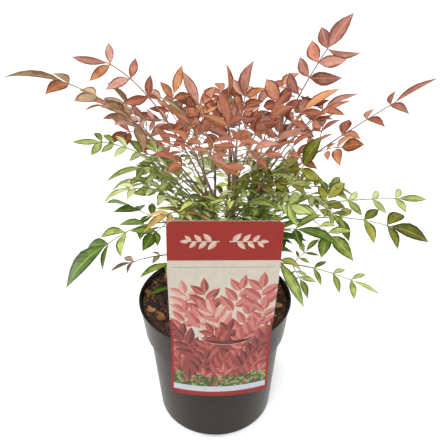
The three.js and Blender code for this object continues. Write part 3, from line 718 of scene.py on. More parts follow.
# A strip of small round leaves lies over them along the foot, above a pale one.
prints.append((GREEN, [(-inside, HEDGE["foot"]), (inside, HEDGE["foot"])] + [
    (x, HEDGE["top"] + 2.5 * math.sin(x / 5.0)) for x in np.linspace(inside, -inside, 24)]))
for k in range(HEDGE["leaves"]):
    x = mix(2 - inside, inside - 2, sprig_draw())
    z = mix(HEDGE["foot"] + 3, HEDGE["top"] + 1, sprig_draw())
    shade, light = HEDGE_SHADES[int(len(HEDGE_SHADES) * sprig_draw())]
    prints += printed_leaf(x, z, mix(*HEDGE["leaf"], sprig_draw()), 2 * math.pi * sprig_draw(),
                           shade, light, shade, width=0.8)
prints.append((SKY, box(-inside, LAYOUT["foot_band"] + 1, inside, HEDGE["foot"] + 2)))
# The foot and the lower sides have a red border.
for left, right in ((-CARD_HALF, -inside), (inside, CARD_HALF)):
    prints.append((HEADER, box(left, LAYOUT["foot_band"], right, LAYOUT["side_bands"])))
foot_band = above([(x, -z) for x, z in outline][::-1], -LAYOUT["foot_band"])
prints.append((HEADER, [(x, -z) for x, z in foot_band][::-1]))
print("printed shapes:", len(prints))

# %% Cut the print into the sheet
SHEET_STEP, SHEET_ROWS = 5.0, 12


def cut_sheet(prints, hole):
    """Triangles of the sheet and the ink on each, from overlapping flat shapes."""
    points, edges, faces = [], [], []
    for shape in [shape for _, shape in prints] + [hole]:
        # A shape has to run against the clock, or everything outside it counts as inside.
        area = sum(x0 * z1 - x1 * z0 for (x0, z0), (x1, z1) in zip(shape, shape[1:] + shape[:1]))
        start = len(points)
        points += [Vector(p) for p in (shape if area > 0 else shape[::-1])]
        faces.append(list(range(start, len(points))))
    # Upright and level lines let the sheet bend round the pot.
    lines = []
    for k in range(1, int(CARD["width"] / SHEET_STEP)):
        x = -CARD_HALF + k * SHEET_STEP
        lines.append(((x, CARD["foot"]), (x, CARD["top"])))
    for k in range(1, SHEET_ROWS):
        z = mix(CARD["foot"], CARD["top"], k / SHEET_ROWS)
        lines.append(((-CARD_HALF, z), (CARD_HALF, z)))
    for line in lines:
        edges.append((len(points), len(points) + 1))
        points += [Vector(p) for p in line]
    spots, _, triangles, _, _, owners = geometry.delaunay_2d_cdt(points, edges, faces, 0, 1e-4)
    kept, inks = [], []
    for triangle, owner in zip(triangles, owners):
        if 0 in owner and len(prints) not in owner:
            kept.append(list(triangle))
            inks.append(prints[max(owner)][0])
    return spots, kept, inks


def sheet_place(x, z, lift):
    """Where a spot of the flat print comes to lie on the bent sheet."""
    out = card_out(x, z)
    return card_centre(z) + out, card_depth(out, z) + lift, z


def thick_sheet(spots, triangles):
    """Points and faces of the front, the back and the cut edges of the sheet."""
    half, shift = CARD["thickness"] / 2, len(spots)
    points = [sheet_place(x, z, lift) for lift in (-half, half) for x, z in spots]
    sides = dict.fromkeys((a, b) for t in triangles for a, b in zip(t, t[1:] + t[:1]))
    faces = [tuple(t) for t in triangles]
    faces += [tuple(v + shift for v in reversed(t)) for t in triangles]
    faces += [(b, a, a + shift, b + shift) for a, b in sides if (b, a) not in sides]
    return points, faces


slot = smile(CARD["slot_top"], CARD["slot_foot"] + 5)
spots, triangles, inks = cut_sheet(prints, slot)
sheet_points, sheet_faces = thick_sheet(spots, triangles)
print("sheet:", len(sheet_faces), "faces")

# %% Tongue
TONGUE = dict(rows=14, columns=12, narrower=1.2, taper=3, round_from=0.7, roundness=0.6,
              hook=0.36, overlap=1, behind=0.3)


def plate(front, back, wide):
    """A thin plate from the rows of points on its two faces."""
    shift, tall = len(front), len(front) // wide
    quads = [(r * wide + c, (r + 1) * wide + c, (r + 1) * wide + c + 1, r * wide + c + 1)
             for r in range(tall - 1) for c in range(wide - 1)]
    loop = (list(range(wide)) + [r * wide + wide - 1 for r in range(1, tall)]
            + [(tall - 1) * wide + c for c in range(wide - 2, -1, -1)]
            + [r * wide for r in range(tall - 2, 0, -1)])
    faces = quads + [tuple(v + shift for v in q[::-1]) for q in quads]
    faces += [(a, b, b + shift, a + shift) for a, b in zip(loop, loop[1:] + loop[:1])]
    return front + back, faces


def tongue_place(f, g, lift):
    """f runs from the hinge to the free end, g across."""
    z = mix(CARD["slot_top"] + TONGUE["overlap"], CARD["tongue_foot"], f)
    half = CARD["slot_half"] - TONGUE["narrower"] - TONGUE["taper"] * min(f, TONGUE["round_from"])
    if f >= TONGUE["round_from"]:
        past = (f - TONGUE["round_from"]) / (1 - TONGUE["round_from"])
        half *= math.sqrt(1 - past**2 * TONGUE["roundness"])
    out = card_out(mix(-half, half, g) + CARD["slot_shift"], z)
    x = card_centre(z) + out
    behind_rim = -math.sqrt(CARD["tongue_radius"] ** 2 - x**2)
    lean = min(f / TONGUE["hook"], 1)
    lean = lean * lean * (3 - 2 * lean)
    return x, mix(card_depth(out, z) + TONGUE["behind"], behind_rim, lean) + lift, z


def tongue_side(lift):
    return [tongue_place(r / TONGUE["rows"], c / TONGUE["columns"], lift)
            for r in range(TONGUE["rows"] + 1) for c in range(TONGUE["columns"] + 1)]


half = CARD["thickness"] / 2
tongue = plate(tongue_side(-half), tongue_side(half), TONGUE["columns"] + 1)
card = mesh_piece("picture_card", *joined([(sheet_points, sheet_faces), tongue]))
shades_smooth_below(card, 40)
print("card:", len(card.data.polygons), "faces")

# %% [markdown]
# ### Printed polystyrene
#
# Plant labels are offset printed on white plastic sheet and varnished, which gives even
# colours and a soft gloss. Each ink is one material. They share their making: a fine
# paper-like mottle of the ink, and a faint waviness of the varnish.

# %% Materials of the card
INKS = {PANEL: "#a9a294", HEADER: "#7b1711", LINE: "#5f5a4e", DEEP: "#743630", RED: "#924843",
        ROSE: "#a3645f", PINK: "#b08b7e", GREEN: "#3b4526", LEAFY: "#5c6a40", SKY: "#a0a5ac",
        REVERSE: "#bcbab2", MAROON: "#552824", SPROUT: "#7a8658"}
for ink, code in INKS.items():
    sheet, tree = new_material(f"offset_print_on_polystyrene_{ink + 1}")
    place = add(tree, "ShaderNodeTexCoord").outputs["Object"]
    mottle = add(tree, "ShaderNodeTexNoise", {"Scale": 160, "Detail": 3}, {"Vector": place})
    strength = add(tree, "ShaderNodeMapRange", {"To Min": 0.86, "To Max": 1.14}, {"Value": mottle})
    tone = add(tree, "ShaderNodeMix", {"data_type": "RGBA", "blend_type": "MULTIPLY", 0: 1.0,
                                       6: colour(code)}, {7: strength})
    waves = add(tree, "ShaderNodeTexNoise", {"Scale": 30, "Detail": 1}, {"Vector": place})
    relief = add(tree, "ShaderNodeBump", {"Strength": 0.15, "Distance": 0.0006}, {"Height": waves})
    dress(tree, {"Roughness": 0.38, "IOR": 1.5, "Specular IOR Level": 0.25},
          {"Base Color": tone, "Normal": relief})
    card.data.materials.append(sheet)
tongue_front = TONGUE["rows"] * TONGUE["columns"]
face_inks = inks + [REVERSE] * (len(sheet_faces) - len(inks))
face_inks += [ROSE] * tongue_front + [REVERSE] * (len(tongue[1]) - tongue_front)
card.data.polygons.foreach_set("material_index", face_inks)
print("inks:", len(INKS))

# %% [markdown]
# ## Growth
#
# A heavenly bamboo grows by a rule. Canes rise in a clump, and each compound leaf leaves
# one of them at a given height and arcs to the tip of its last leaflet. Along the arc
# stand pairs of leaflets, and lower down pairs of side stalks with three leaflets each.
# Every leaflet is turned, let down and rolled by small random amounts, and tries again
# a little differently where it would touch another leaf. This is the rule of the part's
# source, with the same seeds and the same order of draws, so the leaflets fall in the
# same places as the solids.

# %% Numbers of the plant
CANES = dict(ring=7, centre=(5, 0), foot=16, top=30, drift=(14, 4), foot_thick=2.6,
             top_thick=1.4, flare=1.5, flare_height=6, lowest_top=322, top_step=9,
             centre_top=362, middle=45, bare=6)
TWIG = dict(root=1.4, least_rise=0.2, swing=0.3, sunk=2, step=3)
LEAF = dict(widest=0.42, slender=0.36, slender_last=0.31, last=1.25, samples=8)
LAST_ROLLS = (0, 0.5, -0.5, 1, -1)
PINNA = dict(single=0.84, stalk_low=1, stalk_high=0.72, fork=0.78, last=0.98, side=0.74,
             spread=0.95)
HABIT = dict(turn=(0.8, 1.1), lift=(-0.12, 0.16), droop=(0.02, 0.3), roll=(-0.45, 0.45),
             size=(0.88, 1.12))
RETRY = dict(sway=0.12, rise=2.2, twist=0.25, droop=0.09, roll=0.5, size=0.05)
REACH = dict(twig=1.7, leaf=2.1, cane=1.0)
KEEP = dict(soil=6, rim=2, card=3)
TRIES = dict(stalk=14, leaf=7)
# Where the pairs stand along a stalk, and how many leaflets each side of a pair has.
PATTERNS = {
    "long": [(0.48, 3), (0.66, 1), (0.82, 1), (0.97, 1)],
    "full": [(0.42, 3), (0.64, 3), (0.83, 1), (0.97, 1)],
    "short": [(0.5, 3), (0.74, 1), (0.96, 1)],
    "close": [(0.5, 3), (0.67, 1), (0.79, 1), (0.89, 1), (0.985, 1)],
    "small": [(0.62, 1), (0.95, 1)],
}
print("patterns of growth:", ", ".join(PATTERNS))

# %% Fronds
# Name, height on the cane, tip, bow, leaflet length, pattern, tint, and by how many
# degrees the leaflets are turned about their stalk.
FRONDS = [
    ("left_long", 310, (-206, -20, 452), 78, 46, "long", "bronze", 6),
    ("left_high", 330, (-150, 30, 459), 80, 31, "long", "rose", -52),
    ("left_light", 304, (-150, -15, 381), 44, 24, "close", "lime", -30),
    ("left_middle", 288, (-114, -34, 345), 62, 32, "full", "green", 0),
    ("left_lower", 268, (-113, -66, 334), 70, 27, "full", "green", 0),
    ("left_drooping", 262, (-152, -98, 252), 92, 48, "long", "green", 0),
    ("left_dry", 226, (-120, -38, 232), 26, 20, "small", "dry", 0),
    ("left_low", 206, (-84, -56, 236), 40, 30, "small", "green", 0),
    ("top_left", 342, (-36, 58, 438), 42, 33, "full", "rose", -30),
    ("top_middle", 352, (12, 16, 455), 6, 29, "close", "rose", 40),
    ("top_centre", 346, (40, 6, 460), 10, 29, "close", "rose", 50),
    ("top_right", 338, (136, 5, 506), 30, 31, "close", "rose", 56),
    ("right_high", 328, (126, -14, 438), 46, 34, "full", "red", 34),
    ("right_middle", 316, (132, -44, 434), 40, 33, "full", "red", 14),
    ("right_long", 308, (226, -6, 445), 14, 37, "long", "rose", 10),
    ("right_upright", 282, (101, -75, 409), -34, 31, "short", "olive", 85),
    ("right_light", 284, (240, -5, 308), 22, 26, "long", "lime", 30),
    ("right_lower", 262, (235, -44, 275), 56, 36, "long", "olive", 32),
    ("right_near", 250, (128, -76, 292), 40, 38, "short", "green", 20),
    ("right_hanging", 238, (94, -98, 228), 84, 42, "short", "green", 0),
    ("right_low", 222, (186, -62, 218), 34, 26, "long", "green", 20),
    ("front_left", 276, (-68, -100, 320), 46, 29, "short", "amber", 0),
    ("front_green_left", 288, (-34, -72, 331), 30, 27, "short", "lime", 0),
    ("front_green", 296, (16, -80, 337), 26, 27, "short", "lime", 0),
    ("front_green_right", 290, (60, -64, 331), 30, 29, "short", "green", 0),
    ("front_olive", 304, (78, -62, 362), 44, 33, "full", "olive", 0),
    ("front_red_left", 322, (-38, -112, 430), 30, 31, "full", "red", 0),
    ("front_red", 330, (20, -134, 434), 26, 31, "full", "red", 0),
    ("front_red_right", 324, (80, -106, 428), 30, 31, "full", "rose", 0),
    ("middle_red_left", 340, (-62, -34, 440), 40, 32, "full", "red", 0),
    ("middle_red", 350, (6, -62, 448), 20, 33, "short", "red", 0),
    ("middle_red_right", 344, (78, -44, 446), 34, 33, "full", "bronze", 0),
]
BACK_TIERS = [
    dict(name="back_high", leaves=298, headings=(22, 56, 90, 124, 156), reach=182, height=418,
         bow=54, leaflet=36, tint="red", wobble=12, stagger=7),
    dict(name="back_low", leaves=262, headings=(14, 46, 80, 114, 150), reach=172, height=300,
         bow=68, leaflet=34, tint="green", wobble=14, stagger=7),
]
BACK_FALL = 0.1  # how far the tips hang lower, as a share of their reach to the back


def back_fronds():
    draw = random_from(SEED + 1)
    rows = []
    for tier in BACK_TIERS:
        for k, heading in enumerate(tier["headings"]):
            turn = math.radians(heading)
            reach = tier["reach"] + tier["wobble"] * give_or_take(draw)
            rise = tier["height"] + tier["wobble"] * give_or_take(draw)
            tip = (CANES["centre"][0] + reach * math.cos(turn),
                   CANES["centre"][1] + reach * math.sin(turn),
                   rise - BACK_FALL * reach * math.sin(turn))
            rows.append((f"{tier['name']}_{k + 1}", tier["leaves"] + tier["stagger"] * (k % 3), tip,
                         tier["bow"], tier["leaflet"], "full", tier["tint"], 0))
    return rows


rows = FRONDS + back_fronds()
print("fronds:", len(rows))

# %% Vectors and arcs
UP = np.array([0.0, 0.0, 1.0])


def unit(v):
    return v / math.sqrt(v @ v)


def spun(v, axis, angle):
    """v turned about a unit axis."""
    c, s = math.cos(angle), math.sin(angle)
    return v * c + np.cross(axis, v) * s + axis * (axis @ v) * (1 - c)


class Arc:
    """A stalk's path, which can be read by the share of its length."""

    STEPS = 200

    def __init__(self, root, control, tip):
        self.root, self.control, self.tip = root, control, tip
        marks = self.point(np.arange(self.STEPS + 1) / self.STEPS)
        hops = np.sqrt(((marks[1:] - marks[:-1]) ** 2).sum(1))
        self.lengths = np.concatenate([[0.0], np.cumsum(hops)])

    def point(self, t):
        t = np.asarray(t, float)[..., None]
        return self.root * (1 - t) ** 2 + self.control * 2 * (1 - t) * t + self.tip * t * t

    def time(self, share):
        goal = share * self.lengths[-1]
        k = min(max(int(np.searchsorted(self.lengths, goal, "right")) - 1, 0), self.STEPS - 1)
        return (k + (goal - self.lengths[k]) / (self.lengths[k + 1] - self.lengths[k])) / self.STEPS

    def at(self, share):
        return self.point(self.time(share))

    def towards(self, share):
        t = self.time(share)
        return unit(self.point(min(t + 1e-4, 1)) - self.point(max(t - 1e-4, 0)))


arch = Arc(np.zeros(3), UP, np.array([1.0, 0.0, 0.0]))
print("length of an arc over 1 mm:", round(float(arch.lengths[-1]), 3), "mm")


# %% Canes
class Cane:
    def __init__(self, k):
        self.name = f"cane_{k + 1}"
        self.central = k == CANES["ring"]
        self.azimuth = 2 * math.pi * (k + 0.5) / CANES["ring"]
        self.foot = 0 if self.central else CANES["foot"]
        self.spread = 0 if self.central else CANES["top"]
        self.ground = SOIL["level"] + GAP
        # The tops of the ring are mixed over four heights.
        self.top = (CANES["centre_top"] if self.central
                    else CANES["lowest_top"] + CANES["top_step"] * ((k * 3) % 4))

    def at(self, z):
        rise = (z - self.ground) / (self.top - self.ground)
        out = mix(self.foot, self.spread, rise * rise)
        return np.array([
            CANES["centre"][0] + CANES["drift"][0] * rise + out * math.cos(self.azimuth),
            CANES["centre"][1] + CANES["drift"][1] * rise + out * math.sin(self.azimuth), z])

    def radius(self, z):
        rise = (z - self.ground) / (self.top - self.ground)
        flare = CANES["flare"] * math.exp(-(z - self.ground) / CANES["flare_height"])
        return mix(CANES["foot_thick"], CANES["top_thick"], rise) + flare


canes = [Cane(k) for k in range(CANES["ring"] + 1)]


def cane_for(tip):
    """The cane that faces a frond's tip, or the central one for a frond over the middle."""
    x = tip[0] - CANES["centre"][0] - CANES["drift"][0]
    y = tip[1] - CANES["centre"][1] - CANES["drift"][1]
    if math.hypot(x, y) < CANES["middle"]:
        return canes[-1]
    return max(canes[:-1], key=lambda c: x * math.cos(c.azimuth) + y * math.sin(c.azimuth))


print("canes:", len(canes), "tops:", [c.top for c in canes])


# %% Clear space between the fronds
class Space:
    """Points that are taken, each with an owner and a reach."""

    ROOM = 120000
    FAR = 8  # mm, more than two reaches

    def __init__(self):
        self.count = 0
        self.points = np.zeros((self.ROOM, 3))
        self.reach = np.zeros(self.ROOM)
        self.owner = np.zeros(self.ROOM, int)
        self.names = {}

    def number(self, name):
        return self.names.setdefault(name, len(self.names) + 1)

    def add(self, points, reach, owner):
        points = np.atleast_2d(points)
        end = self.count + len(points)
        self.points[self.count:end] = points
        self.reach[self.count:end] = reach
        self.owner[self.count:end] = self.number(owner)
        self.count = end

    def is_clear(self, points, reach, owner, spared=None):
        taken = self.points[:self.count]
        near = np.all((taken > points.min(0) - self.FAR) & (taken < points.max(0) + self.FAR),
                      axis=1)
        near &= self.owner[:self.count] != self.number(owner)
        if spared:
            near &= self.owner[:self.count] != self.number(spared)
        index = np.nonzero(near)[0]
        if not len(index):
            return True
        gaps = ((points[:, None, :] - taken[index][None]) ** 2).sum(2)
        return not np.any(gaps < (reach + self.reach[index][None]) ** 2)


def is_open_air(points, reach):
    """True where no point comes near the compost, the rim or the card."""
    for x, y, z in points:
        out = math.hypot(x, y)
        if z < SOIL["level"] + KEEP["soil"] + reach:
            return False
        in_rim = (POT["rim"] - POT["wall"] - KEEP["rim"] - reach < out
                  < POT["rim"] + KEEP["rim"] + reach)
        if in_rim and z < POT["height"] + KEEP["rim"] + reach:
            return False
        across = x - card_centre(z)
        if (abs(across) > CARD_HALF + KEEP["card"] + reach
                or z > CARD["top"] + KEEP["card"] + reach or z < CARD["foot"]):
            continue
        if abs(y - card_depth(across, z)) <= KEEP["card"] + reach:
            return False
    return True


def samples_along(start, end, step):
    gap = end - start
    count = max(math.ceil(math.sqrt(gap @ gap) / step), 1)
    return np.array([start + gap * (k / count) for k in range(count + 1)])


def leaflet_samples(leaf):
    points = []
    for k in range(1, LEAF["samples"] + 1):
        f = k / LEAF["samples"]
        full = leaf["length"] * leaf["slender"] / 2
        half = full * (f / LEAF["widest"] if f < LEAF["widest"] else (1 - f) / (1 - LEAF["widest"]))
        middle = leaf["root"] + leaf["along"] * (leaf["length"] * f)
        points += [middle + leaf["side"] * (half * w) for w in (-1, -0.5, 0, 0.5, 1)]
    return np.array(points)


space = Space()
for cane in canes:
    foot = cane.at(cane.ground)
    for z in samples_along(foot, np.array([0, 0, cane.top]), TWIG["step"])[:, 2]:
        space.add(cane.at(z), cane.radius(z) + REACH["cane"], cane.name)


def airy(points, reach, owner, spared=None):
    return is_open_air(points, reach) and space.is_clear(points, reach, owner, spared)


print("points that the canes take:", space.count)


# %% Main stalks
def stalk_of(tip_at, leaves, bow, cane, sway, lift):
    """The arc of a main stalk from its cane to its tip, and the way it heads."""
    height = min(leaves + lift, cane.top - CANES["bare"])
    tip = np.array(tip_at, float)
    core = cane.at(height)
    heading = unit(np.array([tip[0] - core[0], tip[1] - core[1], 0.0]))
    flat = spun(heading, UP, sway)
    control = (core + tip) * 0.5
    control[2] += bow
    start = unit(control - core)
    thick = TWIG["root"] * max(start[2], TWIG["least_rise"])
    root = core + flat * (cane.radius(height) + GAP + thick)
    gap = root - tip
    control = control + (flat - heading) * (math.sqrt(gap @ gap) * TWIG["swing"])
    return Arc(root, control, tip), heading


fronds = []
for index, (name, leaves, tip, bow, leaflet, pattern, tint, roll) in enumerate(rows):
    draw = random_from(SEED + 97 * (index + 2))
    cane = cane_for(tip)
    frond = dict(name=name, leaflet=leaflet, pattern=pattern, tint=tint, draw=draw, cane=cane,
                 roll=math.radians(roll), leaves=[], twigs=[], missed=[], barred=[])
    for attempt in range(TRIES["stalk"]):
        sway = attempt * RETRY["sway"] * give_or_take(draw)
        lift = attempt * RETRY["rise"] * give_or_take(draw)
        arc, heading = stalk_of(tip, leaves, bow, cane, sway, lift)
        span = arc.lengths[-1]
        end = 1 - leaflet * LEAF["last"] / span
        count = math.ceil(span / TWIG["step"])
        rachis = np.array([arc.at(k / count) for k in range(count + 1)])
        rachis = rachis[:math.floor((count + 1) * end) + 1]
        if airy(rachis, REACH["twig"], name, cane.name):
            break
    frond.update(arc=arc, end=end, across=unit(np.cross(heading, UP)))
    space.add(rachis, REACH["twig"], name)
    fronds.append(frond)
print("main stalks:", len(fronds))


# %% Last leaflets
def leaf_record(root, along, side, length, slender, spray):
    return dict(root=root, along=along, side=side, length=length, slender=slender, spray=spray)


def takes_root(frond, leaf, reach=REACH["leaf"]):
    """Gives a leaflet to a frond where it has clear space."""
    samples = leaflet_samples(leaf)
    if not airy(samples, reach, frond["name"]):
        return False
    space.add(samples, REACH["leaf"], frond["name"])
    frond["leaves"].append(leaf)
    return True


for frond in fronds:
    arc, end = frond["arc"], frond["end"]
    last = arc.at(end)
    along = arc.at(1) - last
    length = math.sqrt(along @ along) + TWIG["sunk"]
    along = unit(along)
    root = last - arc.towards(end) * TWIG["sunk"]
    for roll in LAST_ROLLS:
        side = spun(frond["across"], along, frond["roll"] + roll)
        leaf = leaf_record(root, along, side, length, LEAF["slender_last"], 0)
        if takes_root(frond, leaf):
            break
    else:
        frond["missed"].append(leaf)
print("last leaflets:", sum(len(f["leaves"]) for f in fronds), "of", len(fronds))


# %% Side stalks and leaflets
def leaflet_on(root, along, side, turn, droop, roll, length, spray):
    """A leaflet turned away from its twig, let down by its weight and rolled a little."""
    over = unit(np.cross(side, along))
    out = along * math.cos(turn) + side * math.sin(turn)
    out[2] -= droop
    out = unit(out)
    blade = -unit(np.cross(over, out))
    return leaf_record(root, out, spun(blade, out, roll), length, LEAF["slender"], spray)


def place_leaflet(frond, root, along, side, turn, length, spray):
    draw = frond["draw"]
    droop = mix(*HABIT["droop"], draw())
    roll = mix(*HABIT["roll"], draw())
    size = length * mix(*HABIT["size"], draw())
    twist = mix(-RETRY["twist"], RETRY["twist"], draw())
    for attempt in range(TRIES["leaf"]):
        leaf = leaflet_on(root, along, side, turn + twist * attempt,
                          droop + RETRY["droop"] * attempt, roll * (1 - attempt * RETRY["roll"]),
                          size * (1 - attempt * RETRY["size"]), spray)
        if takes_root(frond, leaf):
            return
    frond["missed"].append(leaflet_on(root, along, side, turn, droop, roll, size, spray))


def pinna_length(frond, where):
    return frond["leaflet"] * (PINNA["stalk_low"] if where < 0.5 else PINNA["stalk_high"])


def grow_pinna(frond, node, out, length, reach, spray):
    """A side stalk where it has clear space. Gives the root, side, turn and length of its
    three leaflets, which are one at its end and a pair a little below."""
    tip = node + out * length
    samples = samples_along(node, tip, TWIG["step"])
    if not airy(samples, reach, frond["name"]):
        return []
    space.add(samples, REACH["twig"], frond["name"])
    frond["twigs"].append((node, tip, spray))
    flat = unit(np.cross(out, frond["face"]))
    fork, pair = node + out * (length * PINNA["fork"]), frond["leaflet"] * PINNA["side"]
    return [(node + out * (length - TWIG["sunk"]), flat, 0, frond["leaflet"] * PINNA["last"]),
            (fork, flat, PINNA["spread"], pair), (fork, -flat, PINNA["spread"], pair)]


for frond in fronds:
    arc, end, draw, spray = frond["arc"], frond["end"], frond["draw"], 0
    for where, count in PATTERNS[frond["pattern"]]:
        node, along = arc.at(end * where), arc.towards(end * where)
        across = spun(frond["across"], along, frond["roll"])
        frond["face"] = unit(np.cross(across, along))
        for side in (-across, across):
            spray += 1
            turn = mix(*HABIT["turn"], draw())
            lift = mix(*HABIT["lift"], draw())
            if count == 1:
                place_leaflet(frond, node, along, side, turn,
                              frond["leaflet"] * PINNA["single"], spray)
                continue
            out = along * math.cos(turn) + side * math.sin(turn)
            out[2] += lift
            out = unit(out)
            seats = grow_pinna(frond, node, out, pinna_length(frond, where), REACH["twig"], spray)
            for root, flat, spread, length in seats:
                place_leaflet(frond, root, out, flat, spread, length, spray)
            if not seats:
                frond["barred"].append((node, out, where, spray))
grown = sum(len(f["leaves"]) for f in fronds)
print("leaflets by the source's rule:", grown)

# %% Compare with the solids
matched = 0
for frond in fronds:
    solid = frame["nodes"][f"frond_{frond['name']}"].data
    corners = np.zeros(len(solid.vertices) * 3)
    solid.vertices.foreach_get("co", corners)
    corners = corners.reshape(-1, 3) / MM
    for leaf in frond["leaves"]:
        tip = leaf["root"] + leaf["along"] * leaf["length"]
        matched += ((corners - tip) ** 2).sum(1).min() < 0.05**2
print("leaflet tips that lie on a solid's corner:", matched, "of", grown)

# %% [markdown]
# ## Finer growth
#
# The solids need clear space between leaflets, and a living crown doesn't. So the rule
# goes on here with less room to keep: leaflets that found no place try again a little
# smaller, side stalks that were barred look for another way, and each side stalk gets
# one more pair of small leaflets lower down. Short leafy shoots then fill the middle.

# %% Fill the places that the source left open
FINE = dict(leaf=-1.3, twig=-1.0, extra=-0.4, second_size=0.9, swing=0.16, dip=0.12, shrink=0.03)
MISSED_TRIES, BARRED_TRIES, BARRED_LEAF_TRIES = 10, 8, 8
BARRED = dict(swing=0.2, rise=0.15, fall_share=0.6, size=0.9, droop=0.15, roll=0.1)
# These fronds are as full as the living ones without it.
DENSE = ("front_red", "middle_red", "top_right", "right_high", "right_middle", "back_high")
fine_draw = random_from(SEED + 41)


def settle_leaflet(frond, leaf, reach, tries):
    """Puts a leaflet where it is clear, after some turning about its root."""
    for attempt in range(tries):
        swing = FINE["swing"] * attempt * give_or_take(fine_draw)
        dip = FINE["dip"] * attempt * give_or_take(fine_draw)
        along = spun(leaf["along"], UP, swing)
        along[2] += dip
        along = unit(along)
        side = unit(leaf["side"] - along * (leaf["side"] @ along))
        length = leaf["length"] * FINE["second_size"] * (1 - FINE["shrink"] * attempt)
        if takes_root(frond, dict(leaf, along=along, side=side, length=length), reach):
            return True
    return False


thin_fronds = [frond for frond in fronds if not frond["name"].startswith(DENSE)]
second, barred_back = 0, 0
for frond in thin_fronds:
    for leaf in frond["missed"]:
        second += settle_leaflet(frond, leaf, FINE["leaf"], MISSED_TRIES)
for frond in thin_fronds:
    for node, out, where, spray in frond["barred"]:
        for attempt in range(BARRED_TRIES):
            way = spun(out, UP, BARRED["swing"] * attempt * give_or_take(fine_draw))
            way[2] += BARRED["rise"] * attempt * mix(-BARRED["fall_share"], 1, fine_draw())
            way = unit(way)
            seats = grow_pinna(frond, node, way, pinna_length(frond, where) * BARRED["size"],
                               FINE["twig"], spray)
            for root, side, turn, length in seats:
                leaf = leaflet_on(root, way, side, turn, BARRED["droop"], BARRED["roll"], length,
                                  spray)
                settle_leaflet(frond, leaf, FINE["leaf"], BARRED_LEAF_TRIES)
            if seats:
                barred_back += 1
                break
print("second tries:", second, "side stalks found a way:", barred_back)

# %% A lower pair of small leaflets on each side stalk
PAIR = dict(where=0.42, size=0.56, tries=4, turn=(0.9, 1.2), droop=(0.05, 0.25), roll=(-0.4, 0.4),
            vary=(0.8, 1.15))
pairs = 0
for frond in thin_fronds:
    for node, tip, spray in frond["twigs"]:
        out = unit(tip - node)
        flat = unit(np.cross(out, frond["face"]))
        seat = node + (tip - node) * PAIR["where"]
        for side in (flat, -flat):
            turn, droop, roll = (mix(*PAIR[key], fine_draw()) for key in ("turn", "droop", "roll"))
            length = frond["leaflet"] * PAIR["size"] * mix(*PAIR["vary"], fine_draw())
            leaf = leaflet_on(seat, out, side, turn, droop, roll, length, spray)
            pairs += settle_leaflet(frond, leaf, FINE["extra"], PAIR["tries"])
print("small leaflets:", pairs, "all:", sum(len(f["leaves"]) for f in fronds))

# %% Short shoots round the canes
# Low on the crown the canes carry short leafy shoots between the long fronds. They stand
# thickest on the side of the card, where the light comes in. Higher up they are fewer,
# and duller.
GOLDEN_ANGLE = math.pi * (3 - math.sqrt(5))
SHOOTS = dict(leaflet=(16, 25), rise=(0.0, 0.6), front=(205, 335), sway=0.5, reach=-1.2, tries=6,
              clear=5, thin=0.6, arch=0.06, last=1.15, pairs=(0.45, 0.8), leaf_tries=4,
              turn=(0.8, 1.15), droop=(0, 0.25), roll=(-0.4, 0.4))
# The sprout tint of most low shoots is painted paler than young leaves are: painted light where the
# crown above shades them.
LEVELS = [dict(count=130, low=256, high=302, length=(22, 46),
               tints=("green", "sprout", "sprout", "sprout", "lime")),
          dict(count=20, low=310, high=350, length=(12, 20),
               tints=("olive", "green", "olive", "bronze"))]


def dress_shoot(shoot, root, out, length):
    """A last leaflet and two pairs of leaflets for a shoot."""
    side = unit(np.cross(out, UP))
    last = leaf_record(root + out * length - out * TWIG["sunk"], out, side,
                       shoot["leaflet"] * SHOOTS["last"], LEAF["slender"], 0)
    settle_leaflet(shoot, last, FINE["leaf"], SHOOTS["leaf_tries"])
    for where in SHOOTS["pairs"]:
        for hand in (side, -side):
            turn, droop, roll = (mix(*SHOOTS[key], fine_draw())
                                 for key in ("turn", "droop", "roll"))
            leaf = leaflet_on(root + out * length * where, out, hand, turn, droop, roll,
                              shoot["leaflet"], 1)
            settle_leaflet(shoot, leaf, FINE["leaf"], SHOOTS["leaf_tries"])


shoots = []
for k, level in enumerate(level for level in LEVELS for _ in range(level["count"])):
    # Two shoots in three stand on the side of the card.
    heading = math.radians(mix(*SHOOTS["front"], fine_draw())) if k % 3 else GOLDEN_ANGLE * k
    flat = np.array([math.cos(heading), math.sin(heading), 0])
    cane = max(canes[:-1], key=lambda c: math.cos(heading - c.azimuth))
    root = cane.at(min(mix(level["low"], level["high"], fine_draw()), cane.top - 10))
    length = mix(*level["length"], fine_draw())
    leaflet = mix(*SHOOTS["leaflet"], fine_draw())
    tint = level["tints"][int(len(level["tints"]) * fine_draw())]
    for attempt in range(SHOOTS["tries"]):
        rise = mix(*SHOOTS["rise"], fine_draw())
        sway = SHOOTS["sway"] * give_or_take(fine_draw)
        out = unit(spun(flat, UP, sway) * math.cos(rise) + UP * math.sin(rise))
        tip = root + out * length
        samples = samples_along(root + out * SHOOTS["clear"], tip, TWIG["step"])
        if not airy(samples, SHOOTS["reach"], f"shoot_{k}", cane.name):
            continue
        arc = Arc(root, (root + tip) / 2 + UP * length * SHOOTS["arch"], tip)
        shoots.append(dict(name=f"shoot_{k}", leaflet=leaflet, pattern="small", tint=tint,
                           cane=cane, arc=arc, end=1.0, leaves=[], twigs=[]))
        space.add(samples, REACH["twig"] * SHOOTS["thin"], f"shoot_{k}")
        dress_shoot(shoots[-1], root, out, length)
        break
print("shoots:", len(shoots), "with", sum(len(f["leaves"]) for f in shoots), "leaflets")
